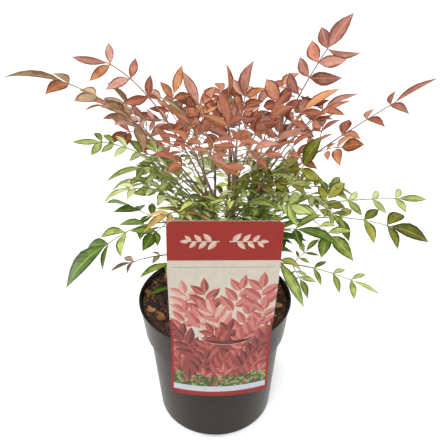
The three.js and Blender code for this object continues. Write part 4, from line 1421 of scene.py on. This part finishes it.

# %% [markdown]
# ## Leaflets
#
# A leaflet is a thin pointed blade, nearly three times as long as wide. It is widest a
# little below its middle, is drawn out to a fine tip, folds slightly along its midrib and
# arches under its own weight. The midrib is fixed by the growth, so the mesh only needs
# the outline: a few stations along it, each with two edge points, one above and one below.
# A few lines of arithmetic on arrays make a whole blade, and all blades share one pattern
# of faces.

# %% Fronds that differ from the rest
# broad and last_broad: width of the leaflets, and of the last one besides.
# shorter: length of all but the last leaflet. last_tone, last_tint: the last leaflet's own.
# to_light: by how many radians the blades of an outer frond may turn to the light.
# dealt: the mix of tints. The lowest fronds are old and deep green, the inner ones young.
# The sprout tint of the innermost is painted paler than young leaves are, as painted light
# where the crown above shades them.
OWN = {
    "left_long": dict(last_broad=0.7, to_light=0.4),
    "left_high": dict(last_broad=0.7, to_light=0.3, last_tint="rose"),
    "left_light": dict(broad=1.1, last_broad=0.75, to_light=0.3),
    "left_middle": dict(dealt="fresh green"),
    "left_lower": dict(dealt="fresh green"),
    "left_drooping": dict(broad=1.05, last_broad=1.5, shorter=0.8, last_tone=0.35,
                          dealt="deep green", last_tint="forest"),
    "left_low": dict(dealt="deep green"),
    "top_left": dict(broad=1.15, last_broad=0.75, to_light=0.3),
    "top_middle": dict(broad=1.2),
    "top_centre": dict(broad=1.15, last_broad=1.1),
    "top_right": dict(broad=1.45, last_broad=0.8, dealt="pale rose"),
    "right_high": dict(broad=0.88),
    "right_middle": dict(broad=0.85),
    "right_long": dict(broad=1.2, last_broad=0.65, shorter=0.88),
    "right_upright": dict(broad=1.2, last_tint="olive"),
    "right_light": dict(last_broad=0.8, to_light=0.3),
    "right_lower": dict(broad=1.25),
    "right_near": dict(last_tone=0.1, dealt="deep green", last_tint="forest"),
    "right_hanging": dict(last_tone=0.3, dealt="deep green", last_tint="green"),
    "right_low": dict(broad=0.85, last_broad=0.7),
    "front_green_left": dict(dealt="sprout"),
    "front_green": dict(dealt="sprout"),
    "front_green_right": dict(dealt="fresh green"),
    "front_olive": dict(dealt="soft olive"),
    "middle_red_right": dict(dealt="red"),
}
LIGHT_FROM = unit(np.array([0, -0.876, 0.482]))
# The leaflets of one frond that head right lie flatter than the rest, and are longer.
FLAT_SIDE = dict(frond="top_right", least=0.55, roll=0.9, longer=1.25)
print("fronds that differ:", len(OWN))

# %% Blade arrays
STATIONS = np.array([0.0, 0.08, 0.22, 0.4, 0.58, 0.75, 0.89, 1.0])
OUTLINE = np.array([0.0, 0.24, 0.7, 1.0, 0.95, 0.66, 0.28, 0.0])
BLADE = dict(width=1.06, vary=(0.9, 1.15), thick=0.012, thin_tip=0.3, arch=(0.0, 0.09),
             fold=(0.15, 0.6), sweep=0.05, curl=(-0.02, 0.06))
INNER = len(STATIONS) - 2
BLADE_POINTS = 4 * INNER + 2


def blade_pattern():
    """The faces of one blade, the UVs of their corners, and which lie on its underside."""
    faces, uvs, below = [], [], []
    for k in range(INNER + 1):
        for c in range(4):  # 0 left edge, 1 above, 2 right edge, 3 below
            n = (c + 1) % 4
            loop = [(k, c), (k, n), (k + 1, n), (k + 1, c)]
            if k == 0:
                loop = [(0, c), (1, n), (1, c)]
            elif k == INNER:
                loop = [(k, c), (k, n), (k + 1, c)]
            faces.append([0 if row == 0 else BLADE_POINTS - 1 if row > INNER
                          else 4 * row - 3 + side for row, side in loop])
            uvs += [((0, 0.5, 1, 0.5)[side] if 0 < row <= INNER else 0.5, STATIONS[row])
                    for row, side in loop]
            below.append(float(c in (2, 3)))
    return faces, uvs, below


def blade_points(leaf, draw):
    """The points of a leaflet's blade, and its tone."""
    along, side, length = leaf["along"], leaf["side"], leaf["length"]
    own, last = OWN.get(leaf["frond"], {}), leaf["spray"] == 0
    over = unit(np.cross(side, along))
    if over[2] < 0:
        side, over = -side, -over
    if not last:
        length *= own.get("shorter", 1)
    half = length * leaf["slender"] / 2 * BLADE["width"] * mix(*BLADE["vary"], draw())
    half *= own.get("broad", 1)
    if last:
        half *= own.get("last_broad", 1)
    elif leaf["frond"] == FLAT_SIDE["frond"] and along[0] > FLAT_SIDE["least"]:
        side, over = (spun(v, along, FLAT_SIDE["roll"]) for v in (side, over))
        length *= FLAT_SIDE["longer"]
    if "to_light" in own:
        facing = unit(LIGHT_FROM - along * (LIGHT_FROM @ along))
        turn = math.atan2(along @ np.cross(over, facing), over @ facing)
        turn = min(max(turn, -own["to_light"]), own["to_light"])
        side, over = (spun(v, along, turn) for v in (side, over))
    arch = length * mix(*BLADE["arch"], draw())
    fold = mix(*BLADE["fold"], draw())
    sweep = length * BLADE["sweep"] * give_or_take(draw)
    curl = length * mix(*BLADE["curl"], draw())
    tone = give_or_take(draw)
    if last:
        tone = own.get("last_tone", tone)
    s, outline = STATIONS[:, None], OUTLINE[:, None]
    rib = (leaf["root"] + along * length * s + over * (4 * arch * s * (1 - s))
           - over * curl * s**4 + side * sweep * 4 * s * (1 - s))
    wide, edge_up = half * outline * math.cos(fold), half * outline * math.sin(fold)
    thick = length * BLADE["thick"] / 2 * mix(BLADE["thin_tip"], 1, outline)
    around = np.stack([rib - side * wide + over * edge_up, rib + over * thick,
                       rib + side * wide + over * edge_up, rib - over * thick], axis=1)
    return np.vstack([rib[:1], around[1:-1].reshape(-1, 3), rib[-1:]]), tone


def blade_piece(name, leaves, draw):
    """One mesh of all the blades of a tint, with their UVs, tones and sides."""
    made = [blade_points(leaf, draw) for leaf in leaves]
    faces, uvs, below = blade_pattern()
    piece = mesh_piece(name, *joined([(points, faces) for points, _ in made]))
    mesh = piece.data
    mesh.uv_layers.new(name="blade").data.foreach_set("uv", np.array(uvs * len(made)).ravel())
    for label, values in (("tone", np.repeat([tone for _, tone in made], len(faces))),
                          ("below", np.array(below * len(made)))):
        mesh.attributes.new(label, "FLOAT", "FACE").data.foreach_set("value", values)
    shades_smooth_below(piece, 14)
    return piece


print("points to a blade:", BLADE_POINTS)

# %% [markdown]
# ### Leaf skin
#
# A leaf's skin is a thin waxy layer over living tissue. The wax, whose IOR is about 1.42,
# gives a satin gloss, and the colour lies below it: young leaves are brick red from the
# pigment that shields them from light, older ones green, and copper, bronze and olive lie
# between. The midrib and the side veins are paler, and the underside duller. The edge is a
# little darker: partly the leaf's own margin, partly painted shade for the dark outline
# where leaves overlap. The sprout tint is painted paler than young leaves are, as painted
# light for leaflets in the shaded middle of the crown. Each leaflet also differs a little
# from the next. One function makes them all, because only the colours change.

# %% Leaf materials
TINTS = {
    # name: (sunlit, blade, deep, midrib, underside)
    "red": ("#c3866a", "#a35d45", "#6a3525", "#b5765d", "#a8664c"),
    "rose": ("#c89583", "#a66f5e", "#6d4035", "#b68370", "#a97564"),
    "copper": ("#cc9066", "#a7653e", "#5f331c", "#b97c54", "#a86e4a"),
    "bronze": ("#c0a180", "#9e7b5a", "#684830", "#ac8a68", "#9d7f62"),
    "olive": ("#95953f", "#6b6b18", "#35380a", "#838338", "#7c7c42"),
    "green": ("#bac47a", "#869440", "#405112", "#9eaa61", "#98a469"),
    "forest": ("#738b37", "#4f6a18", "#233a07", "#7a9048", "#6c7e44"),
    "lime": ("#c9cf96", "#a0ab60", "#5d6d26", "#b3bb81", "#abb486"),
    # young green painted paler than its own colour: painted light for leaflets the crown shades
    "sprout": ("#dde28a", "#c3cd56", "#8fa236", "#d3d985", "#c9d18a"),
    "amber": ("#cdb374", "#ae924f", "#7a5c2e", "#c0a96e", "#bba87c"),
    "dry": ("#a3917b", "#85715c", "#5a493a", "#a3917b", "#94836f"),
}
VEIN_PAIRS, VEIN_SLANT = 9, 0.45


def leaf_material(name, sunlit, blade, deep, rib, under):
    material, tree = new_material(f"waxy_leaf_skin_{name}")
    uv = add(tree, "ShaderNodeUVMap", {"uv_map": "blade"})
    parts = add(tree, "ShaderNodeSeparateXYZ", links={0: uv})
    place = add(tree, "ShaderNodeTexCoord").outputs["Object"]
    tone = add(tree, "ShaderNodeAttribute", {"attribute_name": "tone"}).outputs["Fac"]
    below = add(tree, "ShaderNodeAttribute", {"attribute_name": "below"}).outputs["Fac"]
    # Distance from the midrib, 0 to 0.5.
    shifted = add(tree, "ShaderNodeMath", {"operation": "SUBTRACT", 1: 0.5},
                  {0: parts.outputs["X"]})
    out = add(tree, "ShaderNodeMath", {"operation": "ABSOLUTE"}, {0: shifted})
    mottle = add(tree, "ShaderNodeTexNoise", {"Scale": 120, "Detail": 3}, {"Vector": place})
    # Side veins leave the midrib at a slant.
    slant = add(tree, "ShaderNodeMath", {"operation": "MULTIPLY_ADD", 1: -VEIN_SLANT},
                {0: out, 2: parts.outputs["Y"]})
    waves = add(tree, "ShaderNodeMath", {"operation": "MULTIPLY", 1: VEIN_PAIRS * 2 * math.pi},
                {0: slant})
    veins = add(tree, "ShaderNodeMath", {"operation": "SINE"}, {0: waves})
    vein_mask = add(tree, "ShaderNodeMapRange", {"From Min": 0.75, "From Max": 1.0,
                                                 "To Max": 0.28}, {"Value": veins})
    rib_mask = add(tree, "ShaderNodeMapRange", {"From Min": 0.03, "From Max": 0.07, "To Min": 0.8,
                                                "To Max": 0.0}, {"Value": out})
    pale = add(tree, "ShaderNodeMath", {"operation": "MAXIMUM"}, {0: vein_mask, 1: rib_mask})
    # Deep colour: by leaflet, by mottle and in a narrow margin. The margin is partly the leaf's
    # own darker edge and partly painted shade, the dark outline where leaves overlap.
    edge = add(tree, "ShaderNodeMapRange", {"From Min": 0.31, "From Max": 0.45, "To Max": 1.1},
               {"Value": out})
    by_leaf = add(tree, "ShaderNodeMapRange", {"From Min": -1.0, "From Max": 1.0, "To Min": -0.2,
                                               "To Max": 0.85}, {"Value": tone})
    by_spot = add(tree, "ShaderNodeMapRange", {"From Min": 0.35, "From Max": 0.7, "To Min": -0.2,
                                               "To Max": 0.3}, {"Value": mottle})
    sum_a = add(tree, "ShaderNodeMath", {"operation": "ADD"}, {0: edge, 1: by_leaf})
    depth = add(tree, "ShaderNodeMath", {"operation": "ADD", "use_clamp": True},
                {0: sum_a, 1: by_spot})
    skin = add(tree, "ShaderNodeValToRGB", links={"Fac": depth})
    ramp_stops(skin, [(0.0, sunlit), (0.4, blade), (1.0, deep)])
    veined = add(tree, "ShaderNodeMix", {"data_type": "RGBA", 7: colour(rib)}, {0: pale, 6: skin})
    turned_over = add(tree, "ShaderNodeMath", {"operation": "MULTIPLY", 1: 0.6}, {0: below})
    both = add(tree, "ShaderNodeMix", {"data_type": "RGBA", 7: colour(under)},
               {0: turned_over, 6: veined})
    relief = add(tree, "ShaderNodeBump", {"Strength": 0.3, "Distance": 0.0003}, {"Height": veins})
    dress(tree, {"Roughness": 0.4, "IOR": 1.42, "Specular IOR Level": 0.24},
          {"Base Color": both, "Normal": relief})
    return material


leaf_skins = {name: leaf_material(name, *codes) for name, codes in TINTS.items()}
print("leaf materials:", len(leaf_skins))

# %% Deal the tints by spray
DEALS = {
    "red": (("red", 0.64), ("rose", 0.14), ("copper", 0.18), ("lime", 0.04)),
    "rose": (("rose", 0.42), ("red", 0.36), ("copper", 0.18), ("lime", 0.04)),
    "bronze": (("bronze", 0.66), ("copper", 0.24), ("olive", 0.1)),
    "olive": (("olive", 0.78), ("green", 0.22)),
    "pale rose": (("rose", 0.8), ("red", 0.2)),
    "soft olive": (("olive", 0.4), ("green", 0.45), ("copper", 0.15)),
    "green": (("green", 0.66), ("olive", 0.14), ("lime", 0.2)),
    "deep green": (("forest", 0.62), ("olive", 0.16), ("green", 0.22)),
    "lime": (("lime", 0.72), ("green", 0.28)),
    "sprout": (("sprout", 0.85), ("lime", 0.15)),
    "fresh green": (("lime", 0.68), ("green", 0.32)),
    "amber": (("amber", 0.6), ("lime", 0.3), ("bronze", 0.1)),
    "dry": (("dry", 1.0),),
}
# Four leaflets have dropped on the compost: place, heading in degrees, length and tint.
FALLEN = [(-85, 3, 33, 32, "forest"), (40, 66, 150, 26, "red"), (-30, 74, 20, 24, "dry"),
          (70, 30, 70, 25, "olive")]
FALLEN_LIFT = 2.6


def dealt(mixture, value):
    for name, share in DEALS[mixture]:
        value -= share
        if value < 0:
            return name
    return DEALS[mixture][0][0]


deal_draw = random_from(SEED + 61)
heaps = {name: [] for name in TINTS}
stands_for = {name: set() for name in TINTS}
for plant_part in fronds + shoots:
    own, by_spray = OWN.get(plant_part["name"], {}), {}
    for leaf in plant_part["leaves"]:
        spray = leaf["spray"]
        if spray not in by_spray:
            by_spray[spray] = dealt(own.get("dealt", plant_part["tint"]), deal_draw())
            if spray == 0:
                by_spray[0] = own.get("last_tint", by_spray[0])
        heaps[by_spray[spray]].append(dict(leaf, frond=plant_part["name"]))
        if plant_part in fronds:
            stands_for[by_spray[spray]].add("frond_" + plant_part["name"])
for x, y, heading, length, name in FALLEN:
    turn = math.radians(heading)
    along = unit(np.array([math.cos(turn), math.sin(turn), 0.03]))
    root = np.array([x, y, soil_height(x, y) + FALLEN_LIFT])
    leaf = leaf_record(root, along, np.cross(along, UP), length, LEAF["slender"], 1)
    heaps[name].append(dict(leaf, frond="fallen"))
blade_draw = random_from(SEED + 71)
leaf_pieces = {}
for name, leaves in heaps.items():
    piece = leaf_pieces[name] = blade_piece(f"leaflets_{name}", leaves, blade_draw)
    piece.data.materials.append(leaf_skins[name])
    print(f"leaflets_{name}:", len(leaves), "blades,", len(piece.data.polygons), "faces")

# %% [markdown]
# ## Stalks
#
# Every stalk is a tapering tube that swells at its joints, with a clasping foot on the
# cane. A tube along a path is work for Geometry Nodes: the paths are chains of edges
# with a thickness at each point, and the tree turns the edges into curves and sweeps a
# small circle along them.


# %% Sweep tree
def sweep_tree():
    tree, given = new_tree("sweep_stalks", [("Sides", "Int", 6), ("Thickness", "Float", 1.0)])
    curve = add(tree, "GeometryNodeMeshToCurve", links={"Mesh": given["Taken"]})
    width = add(tree, "GeometryNodeInputNamedAttribute", {"data_type": "FLOAT", "Name": "radius_m"})
    scaled = add(tree, "ShaderNodeMath", {"operation": "MULTIPLY"},
                 {0: width, 1: given["Thickness"]})
    swollen = add(tree, "GeometryNodeSetCurveRadius", links={"Curve": curve, "Radius": scaled})
    circle = add(tree, "GeometryNodeCurvePrimitiveCircle", {"Radius": 1.0},
                 {"Resolution": given["Sides"]})
    tube = add(tree, "GeometryNodeCurveToMesh", {"Fill Caps": True}, {
        "Curve": swollen, "Profile Curve": circle,
        "Scale": scaled})
    smooth = add(tree, "GeometryNodeSetShadeSmooth", links={0: tube})
    return end_tree(tree, given, smooth)


def path_piece(name, paths):
    """Chains of edges with a radius at each point, in metres."""
    points, edges, radii = [], [], []
    for path, widths in paths:
        start = len(points)
        points += [tuple(np.asarray(p) * MM) for p in path]
        radii += [w * MM for w in widths]
        edges += [(start + k, start + k + 1) for k in range(len(path) - 1)]
    mesh = bpy.data.meshes.new(name)
    mesh.from_pydata(points, edges, [])
    mesh.attributes.new("radius_m", "FLOAT", "POINT").data.foreach_set("value", radii)
    return new_object(name, mesh)


sweep = sweep_tree()
print("nodes that sweep:", len(sweep.nodes))

# %% Paths of the stalks
STALK = dict(root=1.15, tip=0.5, pinna=0.55, pinna_tip=0.38, foot=2.1, foot_length=9,
             foot_core=0.8, joint=1.45, joint_side=1.1, joint_reach=1.8, stops=14, shoot=0.6,
             sag=(-0.02, 0.05), pinna_stops=5)
REDDISH = ("red", "rose", "bronze", "dry")


def rachis_path(frond, thin):
    """A main stalk or a shoot from the middle of its cane, with a swelling at each joint."""
    arc, end = frond["arc"], frond["end"]
    span = arc.lengths[-1] * end
    swells = {k / STALK["stops"]: 1.0 for k in range(STALK["stops"])}
    swells[1.0] = STALK["joint_side"]
    for joint, _ in PATTERNS[frond["pattern"]]:
        for side, swell in ((-1, STALK["joint_side"]), (0, STALK["joint"]),
                            (1, STALK["joint_side"])):
            swells[min(max(joint + side * STALK["joint_reach"] / span, 0), 1)] = swell
    path, widths = [frond["cane"].at(arc.at(0)[2])], [STALK["foot"] * STALK["foot_core"]]
    for stop in sorted(swells):
        path.append(arc.at(end * stop))
        width = mix(STALK["root"], STALK["tip"], stop) * swells[stop] * thin
        foot = max(1 - stop * span / STALK["foot_length"], 0)
        widths.append(mix(width, STALK["foot"], foot * foot))
    return path, widths


def pinna_path(node, tip, draw):
    """A side stalk, which sags a little and swells at its root and at its fork."""
    last = STALK["pinna_stops"]
    sag = mix(*STALK["sag"], draw()) * np.linalg.norm(tip - node)
    path, widths = [], []
    for k in range(last + 1):
        f = k / last
        path.append(node + (tip - node) * f + UP * 4 * sag * f * (1 - f))
        swell = STALK["joint"] if k in (0, last - 1) else 1.0
        widths.append(mix(STALK["pinna"], STALK["pinna_tip"], f) * swell)
    return path, widths


stalk_draw = random_from(SEED + 81)
stalk_paths = {"reddish": [], "green": []}
stalk_fronds = {"reddish": [], "green": []}
for plant_part in fronds + shoots:
    kind = "reddish" if plant_part["tint"] in REDDISH else "green"
    is_frond = plant_part in fronds
    stalk_paths[kind].append(rachis_path(plant_part, 1 if is_frond else STALK["shoot"]))
    if is_frond:
        stalk_fronds[kind].append("frond_" + plant_part["name"])
    for node, tip, _ in plant_part["twigs"]:
        stalk_paths[kind].append(pinna_path(node, tip, stalk_draw))
print("stalk paths:", {kind: len(paths) for kind, paths in stalk_paths.items()})


# %% Material of the stalks
def stalk_material(name, young, old):
    material, tree = new_material(f"young_stalk_skin_{name}")
    place = add(tree, "ShaderNodeTexCoord").outputs["Object"]
    patches = add(tree, "ShaderNodeTexNoise", {"Scale": 55, "Detail": 3}, {"Vector": place})
    streaks_at = add(tree, "ShaderNodeMapping", {"Scale": (900, 900, 160)}, {"Vector": place})
    streaks = add(tree, "ShaderNodeTexNoise", {"Scale": 1, "Detail": 2}, {"Vector": streaks_at})
    factor = add(tree, "ShaderNodeMapRange", {"From Min": 0.35, "From Max": 0.65},
                 {"Value": patches})
    tone = add(tree, "ShaderNodeMix", {"data_type": "RGBA", 6: colour(young), 7: colour(old)},
               {0: factor})
    relief = add(tree, "ShaderNodeBump", {"Strength": 0.3, "Distance": 0.0002},
                 {"Height": streaks})
    dress(tree, {"Roughness": 0.5}, {"Base Color": tone, "Normal": relief})
    return material


stalks = {}
for kind, young, old in (("reddish", "#94786a", "#6e5446"), ("green", "#969a60", "#716d44")):
    stalks[kind] = run_nodes(path_piece(f"stalks_{kind}", stalk_paths[kind]), sweep, {
        "Sides": 6, "Thickness": 1.0, "Finish": stalk_material(kind, young, old)})
    print(f"stalks_{kind}:", len(stalks[kind].data.polygons), "faces")

# %% [markdown]
# ## Canes
#
# The canes are young woody stems, a little thinner than a pencil. Each leaf leaves a ring
# where it clasped the stem, and dry pointed leaf bases stay on it for a long time. The
# tube with its rings and ridged bark is drawn point by point, because its relief follows
# the height. The old leaf bases are one small shape set out by Geometry Nodes.

# %% Cane tubes
TUBE = dict(sides=16, step=1.5, pitch=13.0, sunk=2, dome=8, thinner=0.25)
DOME_STEPS = (0.0, 0.3, 0.55, 0.75, 0.9)


def cane_relief(k, z, a):
    """Extra radius at a height and angle: rings, ridges of the bark and small knobs."""
    phase = (z + 3.7 * k) % TUBE["pitch"]
    leaf_scar = 0.42 * math.exp(-((phase - TUBE["pitch"] / 2) / 1.1) ** 2)
    ridges = 0.1 * math.sin(5 * a + z / 6 + k) + 0.07 * math.sin(9 * a - z / 4)
    knobs = 0.09 * math.sin(z / 1.7 + 3 * math.sin(2 * a + k))
    return leaf_scar + ridges + knobs


def cane_skin(k, cane):
    """Points and faces of a cane, from its rounded top down into the compost."""
    dome_foot = cane.top - TUBE["dome"]
    heights = list(np.arange(cane.ground - TUBE["sunk"], dome_foot, TUBE["step"]))
    heights += [dome_foot + TUBE["dome"] * f for f in DOME_STEPS]
    rings = []
    for z in heights[::-1]:
        taper = math.sqrt(max(1 - (max(z - dome_foot, 0) / TUBE["dome"]) ** 1.5, 0.02))
        radius = cane.radius(max(z, cane.ground)) - TUBE["thinner"]
        rings.append([])
        for s in range(TUBE["sides"]):
            a = 2 * math.pi * s / TUBE["sides"]
            r = (radius + cane_relief(k, z, a)) * taper
            rings[-1].append(cane.at(z) + np.array([r * math.cos(a), r * math.sin(a), 0]))
    return closed_skin(cane.at(cane.top), rings, cane.at(heights[0]))


cane_tubes = mesh_piece("canes", *joined([cane_skin(k, cane) for k, cane in enumerate(canes)]))
print("canes:", len(cane_tubes.data.polygons), "faces")

# %% Material of the bark
bark, tree = new_material("young_ridged_bark")
place = add(tree, "ShaderNodeTexCoord").outputs["Object"]
stretched = add(tree, "ShaderNodeMapping", {"Scale": (420, 420, 60)}, {"Vector": place})
fibres = add(tree, "ShaderNodeTexNoise", {"Scale": 1, "Detail": 5, "Roughness": 0.65},
             {"Vector": stretched})
patches = add(tree, "ShaderNodeTexNoise", {"Scale": 45, "Detail": 2}, {"Vector": place})
both = add(tree, "ShaderNodeMath", {"operation": "ADD"}, {0: fibres, 1: patches})
halved = add(tree, "ShaderNodeMath", {"operation": "MULTIPLY", 1: 0.5}, {0: both})
tone = add(tree, "ShaderNodeValToRGB", links={"Fac": halved})
ramp_stops(tone, [(0.35, "#3f3024"), (0.48, "#6a5440"), (0.58, "#857059"), (0.7, "#a1907a")])
relief = add(tree, "ShaderNodeBump", {"Strength": 0.7, "Distance": 0.0008}, {"Height": fibres})
dress(tree, {"Roughness": 0.8}, {"Base Color": tone, "Normal": relief})
cane_tubes.data.materials.append(bark)
print("material:", bark.name)

# %% Old leaf bases
BASE = dict(cane=2.6, thickness=0.35, around=(-0.9, -0.3, 0.3, 0.9),
            rows=((0, 1.0, 0.0), (3, 1.0, 0.25), (6, 0.7, 0.8), (8.5, 0.3, 1.7)))
SEATS = dict(lowest=6, bare=14, turn=2.4, sunk=0.1, spacing=0.9)


def leaf_base_side(layer):
    """One side of a pointed scale that clasps the cane, with its root at the origin."""
    points = []
    for z, width, out in BASE["rows"]:
        for a in BASE["around"]:
            r = BASE["cane"] + out + layer
            points.append((r * math.cos(a * width) - BASE["cane"], r * math.sin(a * width), z))
    return points


def set_out_tree():
    """Geometry Nodes that set a shape on each point, turned the way the point says."""
    tree, given = new_tree("set_out_scales", [
        ("Shape", "Object", None), ("Smallest", "Float", 0.7), ("Largest", "Float", 1.2),
        ("Seed", "Int", 1)])
    shape = add(tree, "GeometryNodeObjectInfo", links={"Object": given["Shape"]})
    facing = add(tree, "GeometryNodeInputNamedAttribute", {"data_type": "FLOAT", "Name": "facing"})
    turn = add(tree, "ShaderNodeCombineXYZ", links={"Z": facing})
    size = add(tree, "FunctionNodeRandomValue", {"data_type": "FLOAT"},
               {2: given["Smallest"], 3: given["Largest"], "Seed": given["Seed"]})
    lay = add(tree, "GeometryNodeInstanceOnPoints", links={
        "Points": given["Taken"], "Instance": shape.outputs["Geometry"],
        "Rotation": turn, "Scale": size})
    return end_tree(tree, given, lay)


scale_shape = mesh_piece("leaf_base", *plate(leaf_base_side(0), leaf_base_side(BASE["thickness"]),
                                             len(BASE["around"])))
seats, facings = [], []
for k, cane in enumerate(canes):
    z, a = cane.ground + SEATS["lowest"], float(k)
    while z < cane.top - SEATS["bare"]:
        r = cane.radius(z) - SEATS["sunk"]
        seats.append(tuple((cane.at(z) + np.array([r * math.cos(a), r * math.sin(a), 0])) * MM))
        facings.append(a)
        z, a = z + TUBE["pitch"] * SEATS["spacing"], a + SEATS["turn"]
mesh = bpy.data.meshes.new("leaf_bases")
mesh.from_pydata(seats, [], [])
mesh.attributes.new("facing", "FLOAT", "POINT").data.foreach_set("value", facings)
bases = new_object("leaf_bases", mesh)
print("old leaf bases:", len(seats))

# %% Material of the leaf bases
dry_sheath, tree = new_material("dry_leaf_sheath")
place = add(tree, "ShaderNodeTexCoord").outputs["Object"]
streaks_at = add(tree, "ShaderNodeMapping", {"Scale": (500, 500, 80)}, {"Vector": place})
streaks = add(tree, "ShaderNodeTexNoise", {"Scale": 1, "Detail": 3}, {"Vector": streaks_at})
tone = add(tree, "ShaderNodeValToRGB", links={"Fac": streaks})
ramp_stops(tone, [(0.3, "#5d4632"), (0.55, "#8a7150"), (0.75, "#a98f6b")])
dress(tree, {"Roughness": 0.75}, {"Base Color": tone})
run_nodes(bases, set_out_tree(), {"Shape": scale_shape, "Smallest": 0.7, "Largest": 1.15,
                                  "Seed": 3, "Finish": dry_sheath})
bpy.data.objects.remove(scale_shape)
print("material:", dry_sheath.name)

# %% [markdown]
# ## Floor and light
#
# A plain pale floor and soft light from a bright room let the colours speak. The room
# grows brighter towards its ceiling. Two large soft lights give the pot its pale streaks
# down both sides, a third in front opens the shadows under the leaves, and a wide low sun
# in front gives the leaves their sheen. Far behind stands a backdrop of back-lit paper.

# %% Floor and backdrop
STUDIO = dict(radius=8000, cove=1500, wall=4500, spokes=96)


def turned_surface(name, section):
    """A surface of revolution that faces the middle of the studio."""
    points = [p for r, z in section for p in ring(r, z, STUDIO["spokes"])]
    return mesh_piece(name, points, walls(len(section), STUDIO["spokes"]))


cove_foot = STUDIO["radius"] - STUDIO["cove"]
floor = turned_surface("floor", [(0.01, 0), (cove_foot, 0)])
cove = [(cove_foot + STUDIO["cove"] * math.sin(a), STUDIO["cove"] * (1 - math.cos(a)))
        for a in np.linspace(0, math.pi / 2, 16)]
backdrop = turned_surface("backdrop", cove + [(STUDIO["radius"], STUDIO["wall"])])
for piece, name, glow in ((floor, "matt_white_paint", 0), (backdrop, "back_lit_paper", 0.4)):
    matt, tree = new_material(name)
    dress(tree, {"Base Color": colour("#fbfbfb"), "Roughness": 0.9,
                 "Emission Color": colour("#ffffff"), "Emission Strength": glow})
    piece.data.materials.append(matt)
# The wall is far off. It is only looked at, and neither lights nor shades the plant.
backdrop.visible_diffuse = backdrop.visible_glossy = backdrop.visible_shadow = False
print("studio radius:", STUDIO["radius"], "mm")

# %% Room and lights
SOFT_LIGHTS = {  # place in metres, width in metres, power in watts
    "left_soft": ((-1.6, 0.2, 0.7), 0.9, 14.5),
    "right_soft": ((1.6, 0.2, 0.7), 0.9, 11.5),
    "front_soft": ((0.1, -1.5, 0.8), 1.2, 7),
}
SUN = dict(strength=1.6, width=24, tilt=44, lean=-16)  # angles in degrees
AIM = Vector((0, 0, 0.25))

bpy.context.scene.view_settings.view_transform = "Standard"
world = bpy.data.worlds.new("bright_room")
bpy.context.scene.world = world
world.use_nodes = True
room = world.node_tree
towards = add(room, "ShaderNodeTexCoord").outputs["Generated"]
rise = add(room, "ShaderNodeSeparateXYZ", links={0: towards}).outputs["Z"]
ceiling = add(room, "ShaderNodeMapRange", {"From Min": 0.0, "From Max": 0.9, "To Min": 0.3,
                                           "To Max": 1.0}, {"Value": rise})
fit(room, room.nodes["Background"], {"Color": colour("#ffffff")}, {"Strength": ceiling})

for name, (place, width, power) in SOFT_LIGHTS.items():
    lamp = bpy.data.lights.new(name, "AREA")
    lamp.shape, lamp.size, lamp.energy = "DISK", width, power
    light = new_object(name, lamp)
    light.location = place
    light.rotation_euler = (AIM - Vector(place)).to_track_quat("-Z", "Y").to_euler()
sun = bpy.data.lights.new("key", "SUN")
sun.energy, sun.angle = SUN["strength"], math.radians(SUN["width"])
new_object("key", sun).rotation_euler = (math.radians(SUN["tilt"]), math.radians(SUN["lean"]), 0)
print("lights:", len(SOFT_LIGHTS) + 1)

# %% [markdown]
# ## Pieces and bodies
#
# Every piece rides on the one body and stands for the solids that it replaces. The list
# also gives each piece a slot for its finish, which nothing here uses.

# %% Pieces, bodies and slots
SLOTS = {"red": "leaf_red", "rose": "leaf_red", "copper": "leaf_bronze", "bronze": "leaf_bronze",
         "olive": "leaf_olive", "green": "leaf_green", "forest": "leaf_green",
         "sprout": "leaf_lime", "lime": "leaf_lime", "amber": "leaf_lime", "dry": "twig_dry"}
cane_nodes = [cane.name for cane in canes]
given = [(pot, "pot_plastic", ["pot"]), (soil, "potting_soil", ["soil"]),
         (chips, "potting_soil", []), (crumbs, "potting_soil", []),
         (card, "card_plastic", ["label_card"]), (cane_tubes, "cane_bark", cane_nodes),
         (bases, "cane_bark", []), (stalks["reddish"], "leaf_bronze", stalk_fronds["reddish"]),
         (stalks["green"], "leaf_green", stalk_fronds["green"])]
given += [(leaf_pieces[name], SLOTS[name], sorted(stands_for[name])) for name in TINTS]
for piece, slot_name, nodes in given:
    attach(piece, "root")
    if nodes:
        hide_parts(*nodes)
print("pieces:", len(given))

# %% Sizes and finish
triangles_in_all = sum(len(p.vertices) - 2 for piece, _, _ in given for p in piece.data.polygons)
print("triangles:", triangles_in_all)
bpy.context.view_layer.update()
